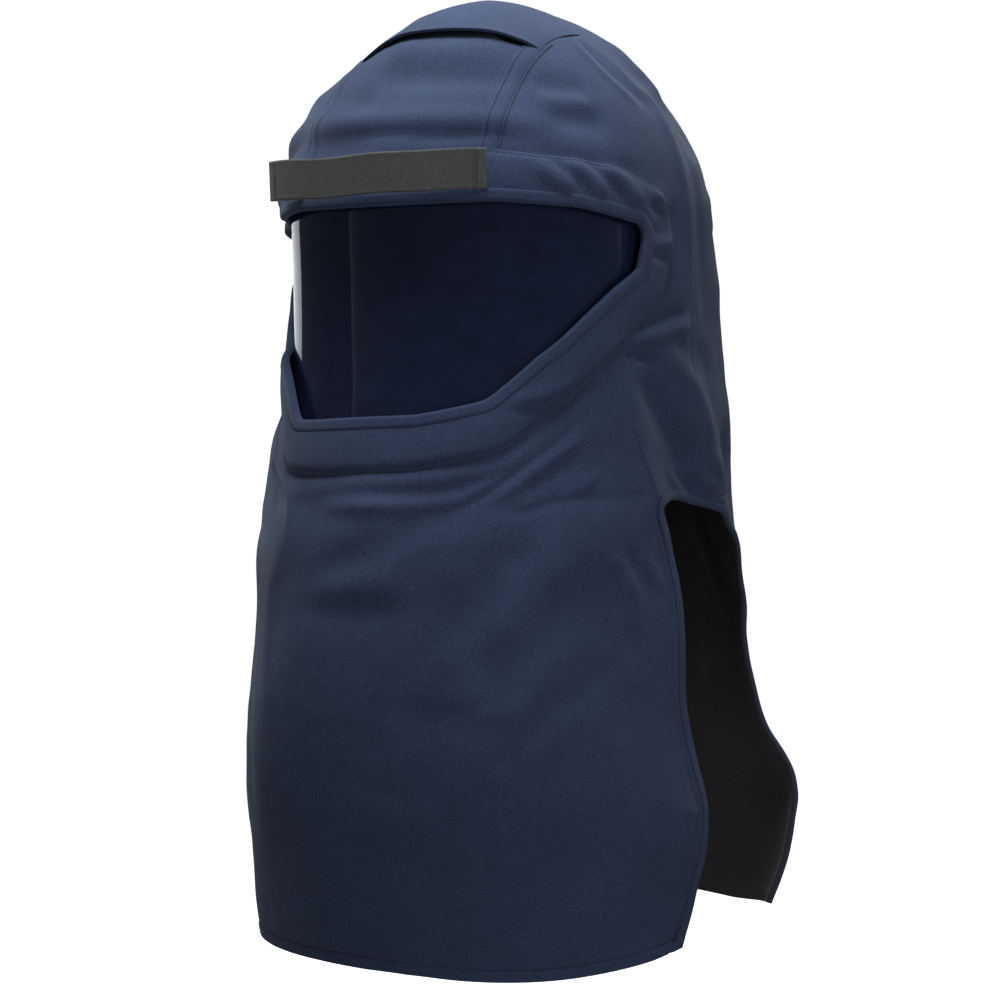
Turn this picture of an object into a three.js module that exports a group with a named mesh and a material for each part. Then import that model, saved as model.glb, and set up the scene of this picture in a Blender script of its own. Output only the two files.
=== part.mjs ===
// Arc flash hood: a padded cloth hood with a front bib, a back drape, open arm sides and a clear visor.
// Millimetres, +Z up. The wearer faces -Y and the wearer's left is +X.
// The origin is the head seat, the inside of the crown's highest point.
import * as THREE from 'three';

// Cloth and clearances
const SHELL_WALL = 2.4;
const LINING_WALL = 1.2;
const FACING_WALL = 1.6;
const SEAM_GAP = 0.4;
const LAYER_GAP = 0.6;

// Overall form
const HOOD_HEIGHT = 768;
const CROWN_RISE = 178;
const HALF_WIDTH = 200;
const FRONT_DEPTH = 238;
const BACK_DEPTH = 226;
const RING_POWER = 2.2;
const CROWN_POWER = 1.76;

// Crown strip and its vent
const STRIP_HALF_WIDTH = 88;
const VENT_SETBACK = 65;
const LIP_OVERHANG = 18;
const LIP_RAISE = 10;
const MESH_WALL = 1.0;
const MESH_BEHIND = 22;
const MESH_AHEAD = 34;

// Visor opening, depths below the top of the crown
const OPENING_TOP = 167;
const OPENING_HEIGHT = 170;
const OPENING_HALF_ANGLE = 77;
const FACING_WIDTH = 38;
const FACING_GAP = 1.0;
const BINDING_RADIUS = 2.6;
const BINDING_GAP = 0.8;

// Visor sheet
const VISOR_WALL = 2.0;
const VISOR_SIDE_INSET = 7.7;
const VISOR_FRONT_INSET = 10;
const VISOR_HALF_ANGLE = 86;
const VISOR_LAP = 14;

// Sides, arm openings and hems
const SIDE_SEAM_ANGLE = 94;
const ARM_TOP = 414;
const ARM_RISE = 6;
const ARM_LOOK_DOWN = 60;
const BIB_EDGE_ANGLE = 82;
const DRAPE_EDGE_ANGLE = 126;
const DRAPE_FLARE = 34;
const HEM_RISE = 7;
const FORM_HEIGHT = 10;

// Brow strap, a length of webbing that stands off the crown
const WEBBING_WIDTH = 32;
const WEBBING_THICKNESS = 1.6;
const STRAP_LEVEL = 145;
const STRAP_STAND_OFF = 11;
const STRAP_LEFT_REACH = 84;
const STRAP_RIGHT_REACH = 118;
const STRAP_RETURN = 24;
const STRAP_CLEARANCE = 0.3;

// Cell counts
const STRIP_COLUMNS = 8;
const BACK_COLUMNS = 18;

const CROWN_TOP = SHELL_WALL;
const BROW_DEPTH = CROWN_RISE;
const DROP = HOOD_HEIGHT - BROW_DEPTH;
const DEGREES = Math.PI / 180;
const SAME_POINT = 0.05;
const NORMAL_STEP = 1;

const mix = (a, b, t) => a + (b - a) * t;
const clamp = (value, low, high) => Math.min(Math.max(value, low), high);
const smoothstep = (t) => t * t * (3 - 2 * t);
const signedPower = (value, power) => Math.sign(value) * Math.abs(value) ** power;
const steps = (count) => Array.from({ length: count + 1 }, (_, index) => index / count);

// Smooth reading of a table of rows [position, value, value, ...] at a position
function readTable(rows, position, column) {
  const last = rows.length - 1;
  const at = clamp(position, rows[0][0], rows[last][0]);
  let index = 0;
  while (index < last - 1 && at > rows[index + 1][0]) index += 1;
  const slope = (k) => {
    const before = rows[Math.max(k - 1, 0)];
    const after = rows[Math.min(k + 1, last)];
    return (after[column] - before[column]) / (after[0] - before[0]);
  };
  const [start, end] = [rows[index], rows[index + 1]];
  const length = end[0] - start[0];
  const t = (at - start[0]) / length;
  const t2 = t * t;
  const t3 = t2 * t;
  return (2 * t3 - 3 * t2 + 1) * start[column]
    + (t3 - 2 * t2 + t) * length * slope(index)
    + (3 * t2 - 2 * t3) * end[column]
    + (t3 - t2) * length * slope(index + 1);
}

// Straight-line reading, for outlines with corners
function readLine(rows, position, column) {
  const last = rows.length - 1;
  const at = clamp(position, rows[0][0], rows[last][0]);
  let index = 0;
  while (index < last - 1 && at > rows[index + 1][0]) index += 1;
  const [start, end] = [rows[index], rows[index + 1]];
  return mix(start[column], end[column], (at - start[0]) / (end[0] - start[0]));
}

// Rings of the body: share of the drop below the brow; width, front and back as shares of their sizes
const RINGS = [
  [0.000, 0.850, 0.723, 0.872],
  [0.073, 0.850, 0.723, 0.930],
  [0.192, 0.855, 0.746, 0.980],
  [0.302, 0.870, 0.819, 0.980],
  [0.412, 0.895, 0.912, 0.942],
  [0.522, 0.930, 0.958, 0.914],
  [0.658, 0.960, 0.996, 0.925],
  [0.793, 0.985, 1.000, 0.951],
  [0.929, 1.005, 0.966, 0.982],
  [1.000, 1.000, 0.930, 1.000],
];

// Soft forms of the cloth: angle and depth share at both ends, half width as a share of the hood's height
// and height as a share of the form height.
// A negative height is a valley. Each form is mirrored to the other side.
const FORMS = [
  [79, 0.455, 104, 0.625, 0.031, -0.9],
  [86, 0.415, 118, 0.600, 0.029, 0.6],
  [69, 0.395, 79, 0.560, 0.026, 0.4],
  [34, 0.470, 66, 0.400, 0.023, -0.4],
  [0, 0.530, 40, 0.505, 0.029, -0.4],
  [40, 0.600, 72, 0.545, 0.034, 0.4],
  [12, 0.700, 60, 0.860, 0.078, 0.5],
  [60, 0.840, 80, 0.880, 0.044, 0.6],
  [140, 0.620, 150, 0.960, 0.052, -1.0],
  [170, 0.560, 168, 0.980, 0.055, 0.9],
];

// Half width, front depth and back depth of the ring at a depth below the top
function ringAt(depth) {
  const share = (Math.max(depth, BROW_DEPTH) - BROW_DEPTH) / DROP;
  const rise = clamp((BROW_DEPTH - depth) / CROWN_RISE, 0, 1);
  const close = (1 - rise ** CROWN_POWER) ** (1 / CROWN_POWER);
  return {
    width: HALF_WIDTH * readTable(RINGS, share, 1) * close,
    front: FRONT_DEPTH * readTable(RINGS, share, 2) * close,
    back: BACK_DEPTH * readTable(RINGS, share, 3) * close,
  };
}

function ringPoint(angle, depth) {
  const ring = ringAt(depth);
  const sine = Math.sin(angle * DEGREES);
  const cosine = Math.cos(angle * DEGREES);
  const reach = cosine >= 0 ? ring.front : ring.back;
  return new THREE.Vector3(
    ring.width * signedPower(sine, 2 / RING_POWER),
    -reach * signedPower(cosine, 2 / RING_POWER),
    CROWN_TOP - depth,
  );
}

function ringNormal(angle, depth) {
  if (depth < NORMAL_STEP / 2) return new THREE.Vector3(0, 0, 1);
  const ring = ringAt(depth);
  const cosine = Math.cos(angle * DEGREES);
  const reach = cosine >= 0 ? ring.front : ring.back;
  const bend = 2 - 2 / RING_POWER;
  const across = signedPower(Math.sin(angle * DEGREES), bend) / ring.width;
  const along = -signedPower(cosine, bend) / reach;
  const above = ringPoint(angle, Math.max(depth - NORMAL_STEP, NORMAL_STEP / 5));
  const below = ringPoint(angle, depth + NORMAL_STEP);
  const fall = above.z - below.z;
  const lift = -(across * (above.x - below.x) + along * (above.y - below.y)) / fall;
  return new THREE.Vector3(across, along, lift).normalize();
}

// Depth of the drape's side edge flare, share of the drop against share of the flare
const FLARE = [
  [0.45, 0.00], [0.50, 0.15], [0.56, 0.20], [0.61, 0.08], [0.67, 0.20],
  [0.74, 0.42], [0.80, 0.90], [0.84, 1.00], [0.88, 0.88], [0.93, 0.66], [1.00, 0.15],
];
const FLARE_REACH = 44;

function flareOffset(angle, depth) {
  const share = (depth - BROW_DEPTH) / DROP;
  if (share < FLARE[0][0]) return new THREE.Vector3();
  const inward = (Math.abs(angle) - DRAPE_EDGE_ANGLE) / FLARE_REACH;
  const fade = smoothstep(clamp(1 - inward, 0, 1)) * clamp((Math.abs(angle) - 100) / 15, 0, 1);
  const size = DRAPE_FLARE * readTable(FLARE, share, 1) * fade;
  return new THREE.Vector3(Math.sign(angle) * 0.857 * size, 0.515 * size, 0);
}

// Height of the soft forms at a point, measured in an unrolled plane of millimetres
function formHeight(angle, depth) {
  const unrolled = HALF_WIDTH * 0.9 * DEGREES;
  const here = new THREE.Vector2(Math.abs(angle) * unrolled, depth);
  let height = 0;
  for (const [angleA, shareA, angleB, shareB, widthShare, heightShare] of FORMS) {
    const start = new THREE.Vector2(angleA * unrolled, shareA * HOOD_HEIGHT);
    const end = new THREE.Vector2(angleB * unrolled, shareB * HOOD_HEIGHT);
    const run = end.clone().sub(start);
    const along = clamp(here.clone().sub(start).dot(run) / run.lengthSq(), 0, 1);
    const distance = here.distanceTo(start.clone().addScaledVector(run, along));
    const taper = 0.35 + 0.65 * Math.sin(Math.PI * along);
    height += heightShare * FORM_HEIGHT * taper * Math.exp(-((distance / (widthShare * HOOD_HEIGHT)) ** 2));
  }
  return height;
}

// Point of the cloth's outer face and the outward direction there
function clothPoint(angle, depth, lift = 0) {
  const normal = ringNormal(angle, depth);
  const point = ringPoint(angle, depth)
    .add(flareOffset(angle, depth))
    .addScaledVector(normal, formHeight(angle, depth) + lift);
  return { point, normal };
}

// Crown strip: the ring angle at which the strip's own width is met, for a share across the strip
function angleAcross(offset, depth) {
  const ring = ringAt(depth);
  const ratio = clamp(Math.abs(offset) / Math.max(ring.width, 1e-6), 0, 1);
  return Math.sign(offset) * Math.asin(ratio ** (RING_POWER / 2)) / DEGREES;
}

const depthOfClose = (close) => BROW_DEPTH - CROWN_RISE * (1 - close ** CROWN_POWER) ** (1 / CROWN_POWER);

// A point of the crown strip, by its offset from the middle and its run: 1 at the brow, 0 at the ridge
function stripPoint(offset, run, lift = 0) {
  const brow = ringAt(BROW_DEPTH);
  const ratio = Math.abs(offset) / brow.width;
  const span = (1 - ratio ** RING_POWER) ** (1 / RING_POWER);
  const close = ((run * span) ** RING_POWER + ratio ** RING_POWER) ** (1 / RING_POWER);
  const depth = depthOfClose(Math.min(close, 1));
  const angle = close > 1e-6 ? angleAcross(offset, depth) : 0;
  return clothPoint(angle, Math.max(depth, 0), lift);
}

// Run of the strip's seam at a depth, and the depth where the strip's seam reaches the ridge
const SEAM_RATIO = STRIP_HALF_WIDTH / (HALF_WIDTH * RINGS[0][1]);
const RIDGE_DEPTH = depthOfClose(SEAM_RATIO);
const SEAM_SPAN = (1 - SEAM_RATIO ** RING_POWER) ** (1 / RING_POWER);

function seamRun(depth) {
  const rise = clamp((BROW_DEPTH - depth) / CROWN_RISE, 0, 1);
  const close = (1 - rise ** CROWN_POWER) ** (1 / CROWN_POWER);
  return (Math.max(close ** RING_POWER - SEAM_RATIO ** RING_POWER, 0)) ** (1 / RING_POWER) / SEAM_SPAN;
}

// Depths of the rows: crown, visor side, cheek and drape
const VENT_RUN = VENT_SETBACK / (FRONT_DEPTH * RINGS[0][2] * SEAM_SPAN);
const VENT_DEPTH = depthOfClose(((VENT_RUN * SEAM_SPAN) ** RING_POWER + SEAM_RATIO ** RING_POWER) ** (1 / RING_POWER));
const CROWN_ROWS = [
  OPENING_TOP, mix(OPENING_TOP, VENT_DEPTH, 0.22), mix(OPENING_TOP, VENT_DEPTH, 0.44),
  mix(OPENING_TOP, VENT_DEPTH, 0.64), mix(OPENING_TOP, VENT_DEPTH, 0.83), VENT_DEPTH,
  mix(VENT_DEPTH, RIDGE_DEPTH, 0.6), RIDGE_DEPTH,
];
const VENT_ROW = 5;

// Visor opening: angle share of the half angle, depth share of the opening's height; top then bottom edge
const OPENING_UPPER = [
  [0.00, 0.000], [0.40, 0.000], [0.56, 0.021], [0.71, 0.041], [0.87, 0.088], [1.00, 0.135],
];
const OPENING_SIDE = [
  [0.135, 1.000], [0.180, 1.008], [0.260, 0.994], [0.360, 0.968],
];
const OPENING_LOWER = [
  [0.000, 1.000], [0.130, 0.990], [0.280, 0.965], [0.345, 0.930], [0.420, 0.855],
  [0.550, 0.730], [0.725, 0.565], [0.855, 0.445], [0.968, 0.360],
];
const CORNER_SHARE = 0.36;

const openingDepth = (share) => OPENING_TOP + OPENING_HEIGHT * share;
const upperEdge = (angle) => openingDepth(readLine(OPENING_UPPER, Math.abs(angle) / OPENING_HALF_ANGLE, 1));
const lowerEdge = (angle) => openingDepth(readLine(OPENING_LOWER, Math.abs(angle) / OPENING_HALF_ANGLE, 1));

// Bib's side edge: share from the opening's corner to the hem, angle as a share of the bib's edge angle
const CORNER_DEPTH = openingDepth(CORNER_SHARE);
const BIB_SIDE = [
  [0.00, 0.909], [0.035, 0.890], [0.075, 0.855], [0.13, 0.836], [0.245, 0.866],
  [0.295, 0.909], [0.355, 0.956], [0.41, 0.985], [0.49, 1.000], [0.58, 0.990], [0.65, 0.985],
  [0.73, 1.002], [0.80, 1.024], [0.865, 1.000], [0.91, 0.965], [0.96, 0.930], [1.00, 0.895],
];
const hemDepth = (share) => HOOD_HEIGHT - HEM_RISE * Math.abs(share) ** 3;
const BIB_CORNER_DEPTH = HOOD_HEIGHT - HEM_RISE;
const bibShare = (depth) => (depth - CORNER_DEPTH) / (BIB_CORNER_DEPTH - CORNER_DEPTH);
const bibEdge = (depth) => BIB_EDGE_ANGLE * readTable(BIB_SIDE, bibShare(depth), 1);

// Side seam between the side panels and the back, by share of the way from the ridge to the arm opening
const SIDE_SEAM = [
  [0.00, 0.957], [0.04, 0.970], [0.12, 1.016], [0.20, 1.030], [0.38, 1.014], [0.60, 1.005], [0.80, 0.990], [1.00, 0.990],
];
const sideSeam = (depth) => SIDE_SEAM_ANGLE
  * readTable(SIDE_SEAM, (depth - RIDGE_DEPTH) / (ARM_TOP - RIDGE_DEPTH), 1);

const CHEEK_ROWS = [
  CORNER_DEPTH, ...steps(7).slice(1).map((share) => mix(CORNER_DEPTH, ARM_TOP, share)),
];
const BROW_SIDE_DEPTH = upperEdge(OPENING_HALF_ANGLE);
const TEMPLE_ROWS = OPENING_SIDE.slice(1, -1).map(([share]) => openingDepth(share));

// Drape's side edge: share from the arm opening's top to the hem, angle as a share of the drape's edge angle
const DRAPE_SIDE = [
  [0.000, 0.742], [0.018, 0.790], [0.037, 0.840], [0.068, 0.902], [0.108, 0.956], [0.175, 0.986],
  [0.260, 1.000], [1.000, 1.000],
];
const drapeShare = (depth) => (depth - ARM_TOP) / (HOOD_HEIGHT - ARM_TOP);
const drapeEdge = (depth) => DRAPE_EDGE_ANGLE * readLine(DRAPE_SIDE, drapeShare(depth), 1);
const DRAPE_ROWS = [0, 0.018, 0.037, 0.068, 0.108, 0.175, 0.26, 0.35, 0.44, 0.53, 0.61, 0.70, 0.80, 0.90, 1]
  .map((share) => mix(ARM_TOP, HOOD_HEIGHT, share));

// A turn of the angle that leaves half a seam gap at a seam
const seamTurn = SEAM_GAP / 2 / (HALF_WIDTH * DEGREES);

// A sheet of cloth: patches of rows of { point, normal } joined where they share points, with a wall below
function thickSheet(patches, wall, under = 0) {
  const places = [];
  const facets = [];
  const place = ({ point, normal }) => {
    const known = places.findIndex((other) => other.point.distanceTo(point) < SAME_POINT);
    if (known >= 0) return known;
    places.push({ point, normal });
    return places.length - 1;
  };
  const facet = (a, b, c) => {
    if (a === b || b === c || c === a) return;
    const [p, q, r] = [a, b, c].map((index) => places[index].point);
    const outward = q.clone().sub(p).cross(r.clone().sub(p)).dot(places[b].normal.clone().add(places[c].normal));
    facets.push(outward > 0 ? [a, b, c] : [a, c, b]);
  };
  for (const rows of patches) {
    const grid = rows.map((row) => row.map(place));
    for (let row = 0; row < grid.length - 1; row += 1) {
      for (let column = 0; column < grid[row].length - 1; column += 1) {
        const [a, b] = [grid[row][column], grid[row][column + 1]];
        const [c, d] = [grid[row + 1][column + 1], grid[row + 1][column]];
        facet(a, b, c);
        facet(a, c, d);
      }
    }
  }
  const count = places.length;
  const positions = [];
  for (const { point, normal } of places) positions.push(...point.clone().addScaledVector(normal, -under).toArray());
  for (const { point, normal } of places) {
    positions.push(...point.clone().addScaledVector(normal, -under - wall).toArray());
  }
  const edges = new Set(facets.flatMap(([a, b, c]) => [`${a} ${b}`, `${b} ${c}`, `${c} ${a}`]));
  const indices = [];
  for (const [a, b, c] of facets) {
    indices.push(a, b, c, a + count, c + count, b + count);
    for (const [from, to] of [[a, b], [b, c], [c, a]]) {
      if (edges.has(`${to} ${from}`)) continue;
      indices.push(from, from + count, to + count, from, to + count, to);
    }
  }
  return closedGeometry(positions, indices);
}

function closedGeometry(positions, indices) {
  const geometry = new THREE.BufferGeometry();
  geometry.setAttribute('position', new THREE.Float32BufferAttribute(positions, 3));
  geometry.setIndex(indices);
  geometry.computeVertexNormals();
  return geometry;
}

// A rounded edging swept along places { point, normal, side }, lying off the cloth's edge
function edging(places, radius, closed) {
  const sides = 6;
  const positions = [];
  for (const { point, normal, side } of places) {
    const centre = point.clone()
      .addScaledVector(side, radius + BINDING_GAP)
      .addScaledVector(normal, -SHELL_WALL / 2);
    for (let index = 0; index < sides; index += 1) {
      const turn = (index / sides) * 2 * Math.PI;
      positions.push(...centre.clone()
        .addScaledVector(side, Math.cos(turn) * radius)
        .addScaledVector(normal, Math.sin(turn) * radius)
        .toArray());
    }
  }
  const indices = [];
  const rings = places.length;
  const spans = closed ? rings : rings - 1;
  for (let ring = 0; ring < spans; ring += 1) {
    for (let index = 0; index < sides; index += 1) {
      const a = ring * sides + index;
      const b = ring * sides + ((index + 1) % sides);
      const c = ((ring + 1) % rings) * sides + ((index + 1) % sides);
      const d = ((ring + 1) % rings) * sides + index;
      indices.push(a, b, c, a, c, d);
    }
  }
  if (!closed) {
    const lastRing = (rings - 1) * sides;
    for (let index = 1; index < sides - 1; index += 1) {
      indices.push(0, index + 1, index);
      indices.push(lastRing, lastRing + index, lastRing + index + 1);
    }
  }
  const geometry = closedGeometry(positions, indices);
  return signedVolume(geometry) > 0 ? geometry : flipped(geometry);
}

function signedVolume(geometry) {
  const at = geometry.getAttribute('position');
  const index = geometry.getIndex();
  let volume = 0;
  for (let corner = 0; corner < index.count; corner += 3) {
    const [p, q, r] = [0, 1, 2].map((step) => new THREE.Vector3().fromBufferAttribute(at, index.getX(corner + step)));
    volume += p.dot(q.cross(r)) / 6;
  }
  return volume;
}

function flipped(geometry) {
  const old = Array.from(geometry.getIndex().array);
  const turned = [];
  for (let corner = 0; corner < old.length; corner += 3) turned.push(old[corner], old[corner + 2], old[corner + 1]);
  geometry.setIndex(turned);
  geometry.computeVertexNormals();
  return geometry;
}

// Adds to each place of a route the direction in the cloth, across the route, that points away from the cloth
function withSides(route, awayFrom, closed) {
  const count = route.length;
  return route.map((place, index) => {
    const before = closed ? route[(index + count - 1) % count] : route[Math.max(index - 1, 0)];
    const after = closed ? route[(index + 1) % count] : route[Math.min(index + 1, count - 1)];
    const along = after.point.clone().sub(before.point).normalize();
    const side = place.normal.clone().cross(along).normalize();
    if (side.dot(awayFrom(place).sub(place.point)) < 0) side.negate();
    return { ...place, side };
  });
}

const cloth = new THREE.MeshStandardMaterial({ color: 0x2b3a5c, roughness: 0.9, metalness: 0 });
const liningCloth = new THREE.MeshStandardMaterial({ color: 0x121214, roughness: 0.95, metalness: 0 });
const webbing = new THREE.MeshStandardMaterial({ color: 0x3f403e, roughness: 0.8, metalness: 0 });
const meshCloth = new THREE.MeshStandardMaterial({ color: 0x0e0f10, roughness: 0.9, metalness: 0 });
const visorPlastic = new THREE.MeshStandardMaterial({
  color: 0x2a3560, roughness: 0.1, metalness: 0, transparent: true, opacity: 0.6,
});

const hood = new THREE.Group();

function addPiece(name, geometry, material) {
  const mesh = new THREE.Mesh(geometry, material);
  mesh.name = name;
  hood.add(mesh);
}

const STRIP_OFFSETS = steps(STRIP_COLUMNS).map((share) => (2 * share - 1) * (STRIP_HALF_WIDTH - SEAM_GAP / 2));
const lipShare = (offset) => 1 - (offset / STRIP_HALF_WIDTH) ** 2;
const runPerMillimetre = 1 / (FRONT_DEPTH * RINGS[0][2]);

// Front of the crown strip, from the brow up to the vent, its top edge tucked under the lip
function crownFrontPanel() {
  const tuck = (offset) => {
    const open = lipShare(offset);
    return SEAM_GAP + (open < 0.6 ? LIP_OVERHANG * open : 0);
  };
  const rows = CROWN_ROWS.slice(0, VENT_ROW).map((depth) => STRIP_OFFSETS.map(
    (offset) => stripPoint(offset, seamRun(depth)),
  ));
  rows.push(STRIP_OFFSETS.map((offset) => stripPoint(offset, VENT_RUN + tuck(offset) * runPerMillimetre)));
  return thickSheet([rows], SHELL_WALL);
}

// Back of the crown strip with the vent's raised lip, the crown's back and the neck, down to the arm openings
function crownBackPanel() {
  const lipRows = [1, 0.5].map((share) => STRIP_OFFSETS.map((offset) => {
    const open = lipShare(offset);
    const ahead = LIP_OVERHANG * open * share;
    const lift = LIP_RAISE * Math.sqrt(open) * (0.75 + 0.25 * share);
    return stripPoint(offset, VENT_RUN + ahead * runPerMillimetre, lift);
  }));
  const behind = [0, 0.35, 0.7].map((share) => STRIP_OFFSETS.map((offset) => {
    const lift = LIP_RAISE * Math.sqrt(lipShare(offset)) * 0.75 * (1 - share) ** 2;
    return stripPoint(offset, VENT_RUN * (1 - share), lift);
  }));
  const ridge = STRIP_OFFSETS.map((offset) => stripPoint(offset, 0));
  const strip = [...lipRows, ...behind, ridge];

  const half = STRIP_COLUMNS / 2;
  const ridgeDepths = steps(half).map((share) => depthOfClose(
    share * (STRIP_HALF_WIDTH - SEAM_GAP / 2) / (HALF_WIDTH * RINGS[0][1]),
  ));
  const turns = steps(BACK_COLUMNS);
  const crown = ridgeDepths.map((depth) => turns.map((share) => clothPoint(wrap(mix(90, 270, share)), depth)));
  const sideDepths = [...CROWN_ROWS.slice(1, VENT_ROW + 2).reverse(), BROW_SIDE_DEPTH, ...TEMPLE_ROWS, ...CHEEK_ROWS];
  sideDepths[sideDepths.length - 1] -= SEAM_GAP / 2;
  const back = [crown[crown.length - 1], ...sideDepths.map((depth) => {
    const seam = sideSeam(depth) + seamTurn;
    return turns.map((share) => clothPoint(wrap(mix(seam, 360 - seam, share)), depth));
  })];
  return thickSheet([strip, crown, back], SHELL_WALL);
}

const wrap = (angle) => (angle > 180 ? angle - 360 : angle);

// Side of the hood: brow side from the strip's seam to the side seam, and the cheek down to the arm opening
function sidePanel(side) {
  const browColumns = [0, 0.18, 0.36, 0.54, 0.72];
  const sideColumns = [0.72, 0.86, 1];
  const columns = [...browColumns, ...sideColumns.slice(1)];
  const seamOffset = STRIP_HALF_WIDTH + SEAM_GAP / 2;
  const place = (angle, depth) => clothPoint(side * angle, depth);
  const lowest = columns.map((share) => {
    if (share > 0.72) {
      const seam = sideSeam(BROW_SIDE_DEPTH) - seamTurn;
      return place(mix(OPENING_HALF_ANGLE, seam, (share - 0.72) / 0.28), BROW_SIDE_DEPTH);
    }
    const start = angleAcross(seamOffset, OPENING_TOP);
    const corner = OPENING_UPPER[1 + browColumns.indexOf(share)][0] * OPENING_HALF_ANGLE;
    const angle = share === 0 ? start : corner;
    return place(angle, upperEdge(angle));
  });
  const brow = [lowest, ...CROWN_ROWS.slice(1).map((depth, index) => {
    const top = index === CROWN_ROWS.length - 2;
    const start = top ? 90 : angleAcross(seamOffset, depth);
    const end = top ? 90 : sideSeam(depth) - seamTurn;
    return columns.map((share) => place(mix(start, end, share), top ? depth + SEAM_GAP : depth));
  })];

  const frontEdge = (depth) => {
    if (depth <= CORNER_DEPTH) {
      return OPENING_HALF_ANGLE * readLine(OPENING_SIDE, (depth - OPENING_TOP) / OPENING_HEIGHT, 1);
    }
    return bibEdge(depth) + seamTurn;
  };
  const cheek = [BROW_SIDE_DEPTH, ...TEMPLE_ROWS, ...CHEEK_ROWS].map((depth, index, all) => {
    const start = frontEdge(depth);
    const end = sideSeam(depth) - seamTurn;
    const arch = index === all.length - 1 ? ARM_RISE : 0;
    return sideColumns.map((share) => {
      const along = (share - 0.72) / 0.28;
      return place(mix(start, end, along), depth - arch * Math.sin(Math.PI * along));
    });
  });
  return thickSheet([brow, cheek], SHELL_WALL);
}

// Bib: a patch between the opening's lower edge, the hem and the two side edges
function bibPlace(across, down) {
  const [near, far] = [mix(CORNER_DEPTH, ARM_TOP, 1), BIB_CORNER_DEPTH];
  const split = 7 / 17;
  const edgeDepth = down < split
    ? mix(CORNER_DEPTH, near, down / split)
    : mix(near, far, (down - split) / (1 - split));
  const share = bibShare(edgeDepth);
  const edge = bibEdge(edgeDepth) - seamTurn;
  const cornerAngle = bibEdge(CORNER_DEPTH) - seamTurn;
  const hemAngle = bibEdge(BIB_CORNER_DEPTH) - seamTurn;
  const topAngle = across * cornerAngle;
  const top = lowerEdge(topAngle);
  const hem = hemDepth(across);
  const angle = mix(topAngle, across * hemAngle, share)
    + Math.abs(across) * Math.sign(across) * (edge - mix(cornerAngle, hemAngle, share));
  const depth = mix(top, hem, share) + Math.abs(across) * (edgeDepth - mix(CORNER_DEPTH, BIB_CORNER_DEPTH, share));
  return [angle, depth];
}

const BIB_ROWS = steps(17);
const BIB_HALF = [...OPENING_LOWER.map(([angle]) => angle), 0.64]
  .sort((a, b) => a - b)
  .map((angle) => angle * OPENING_HALF_ANGLE / bibEdge(CORNER_DEPTH));
const BIB_ACROSS = [...BIB_HALF.slice(1).reverse().map((across) => -across), ...BIB_HALF]
  .map((across) => clamp(across, -1, 1));

function frontBib() {
  const rows = BIB_ROWS.map((down) => BIB_ACROSS.map((across) => clothPoint(...bibPlace(across, down))));
  return thickSheet([rows], SHELL_WALL);
}

function drapeRows(columns) {
  return DRAPE_ROWS.map((depth, index) => steps(columns).map((share) => {
    const edge = drapeEdge(depth) + (index === 0 ? seamTurn : 0);
    return clothPoint(wrap(mix(edge, 360 - edge, share)), index === 0 ? depth + SEAM_GAP / 2 : depth);
  }));
}

// Facing: a second layer of cloth round the visor opening
const OPENING_LOOP = [
  [0.00, 0.000, 0.0, -1.0], [0.20, 0.000, 0.0, -1.0], [0.40, 0.000, 0.05, -1.0], [0.56, 0.021, 0.1, -0.95],
  [0.71, 0.041, 0.15, -0.95], [0.87, 0.088, 0.4, -0.9], [0.985, 0.125, 0.75, -0.65], [1.008, 0.180, 0.95, -0.1],
  [0.994, 0.260, 0.95, 0.2], [0.968, 0.360, 0.8, 0.55], [0.855, 0.445, 0.55, 0.85], [0.725, 0.565, 0.5, 0.9],
  [0.550, 0.730, 0.5, 0.9], [0.420, 0.855, 0.4, 0.95], [0.345, 0.930, 0.25, 1.0], [0.280, 0.965, 0.1, 1.02],
  [0.130, 0.990, 0.03, 1.02], [0.000, 1.000, 0.0, 1.02],
];

function openingLoop() {
  const right = OPENING_LOOP.map(([angle, depth, away, down]) => ({ angle, depth, away, down }));
  const left = right.slice(1, -1).reverse().map((row) => ({ ...row, angle: -row.angle, away: -row.away }));
  const corners = [...right, ...left];
  return corners.flatMap((corner, index) => {
    const next = corners[(index + 1) % corners.length];
    const parts = Math.ceil(Math.abs(next.angle - corner.angle) * OPENING_HALF_ANGLE / 6.5);
    return steps(Math.max(parts, 1)).slice(0, -1).map((share) => ({
      angle: mix(corner.angle, next.angle, share) * OPENING_HALF_ANGLE,
      depth: openingDepth(mix(corner.depth, next.depth, share)),
      away: mix(corner.away, next.away, share),
      down: mix(corner.down, next.down, share),
    }));
  });
}

function visorSurround() {
  const loop = openingLoop();
  const ring = [...loop, loop[0]];
  const rows = [0, 0.5, 1].map((share) => ring.map(({ angle, depth, away, down }) => {
    const turn = away * FACING_WIDTH * share / (HALF_WIDTH * 0.85 * DEGREES);
    return clothPoint(angle + turn, depth + down * FACING_WIDTH * share, FACING_GAP + FACING_WALL);
  }));
  return thickSheet([rows], FACING_WALL);
}

function visorBinding() {
  const route = openingLoop().map(({ angle, depth }) => clothPoint(angle, depth));
  const middle = clothPoint(0, openingDepth(0.45)).point;
  return edging(withSides(route, () => middle.clone(), true), BINDING_RADIUS, true);
}

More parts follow.
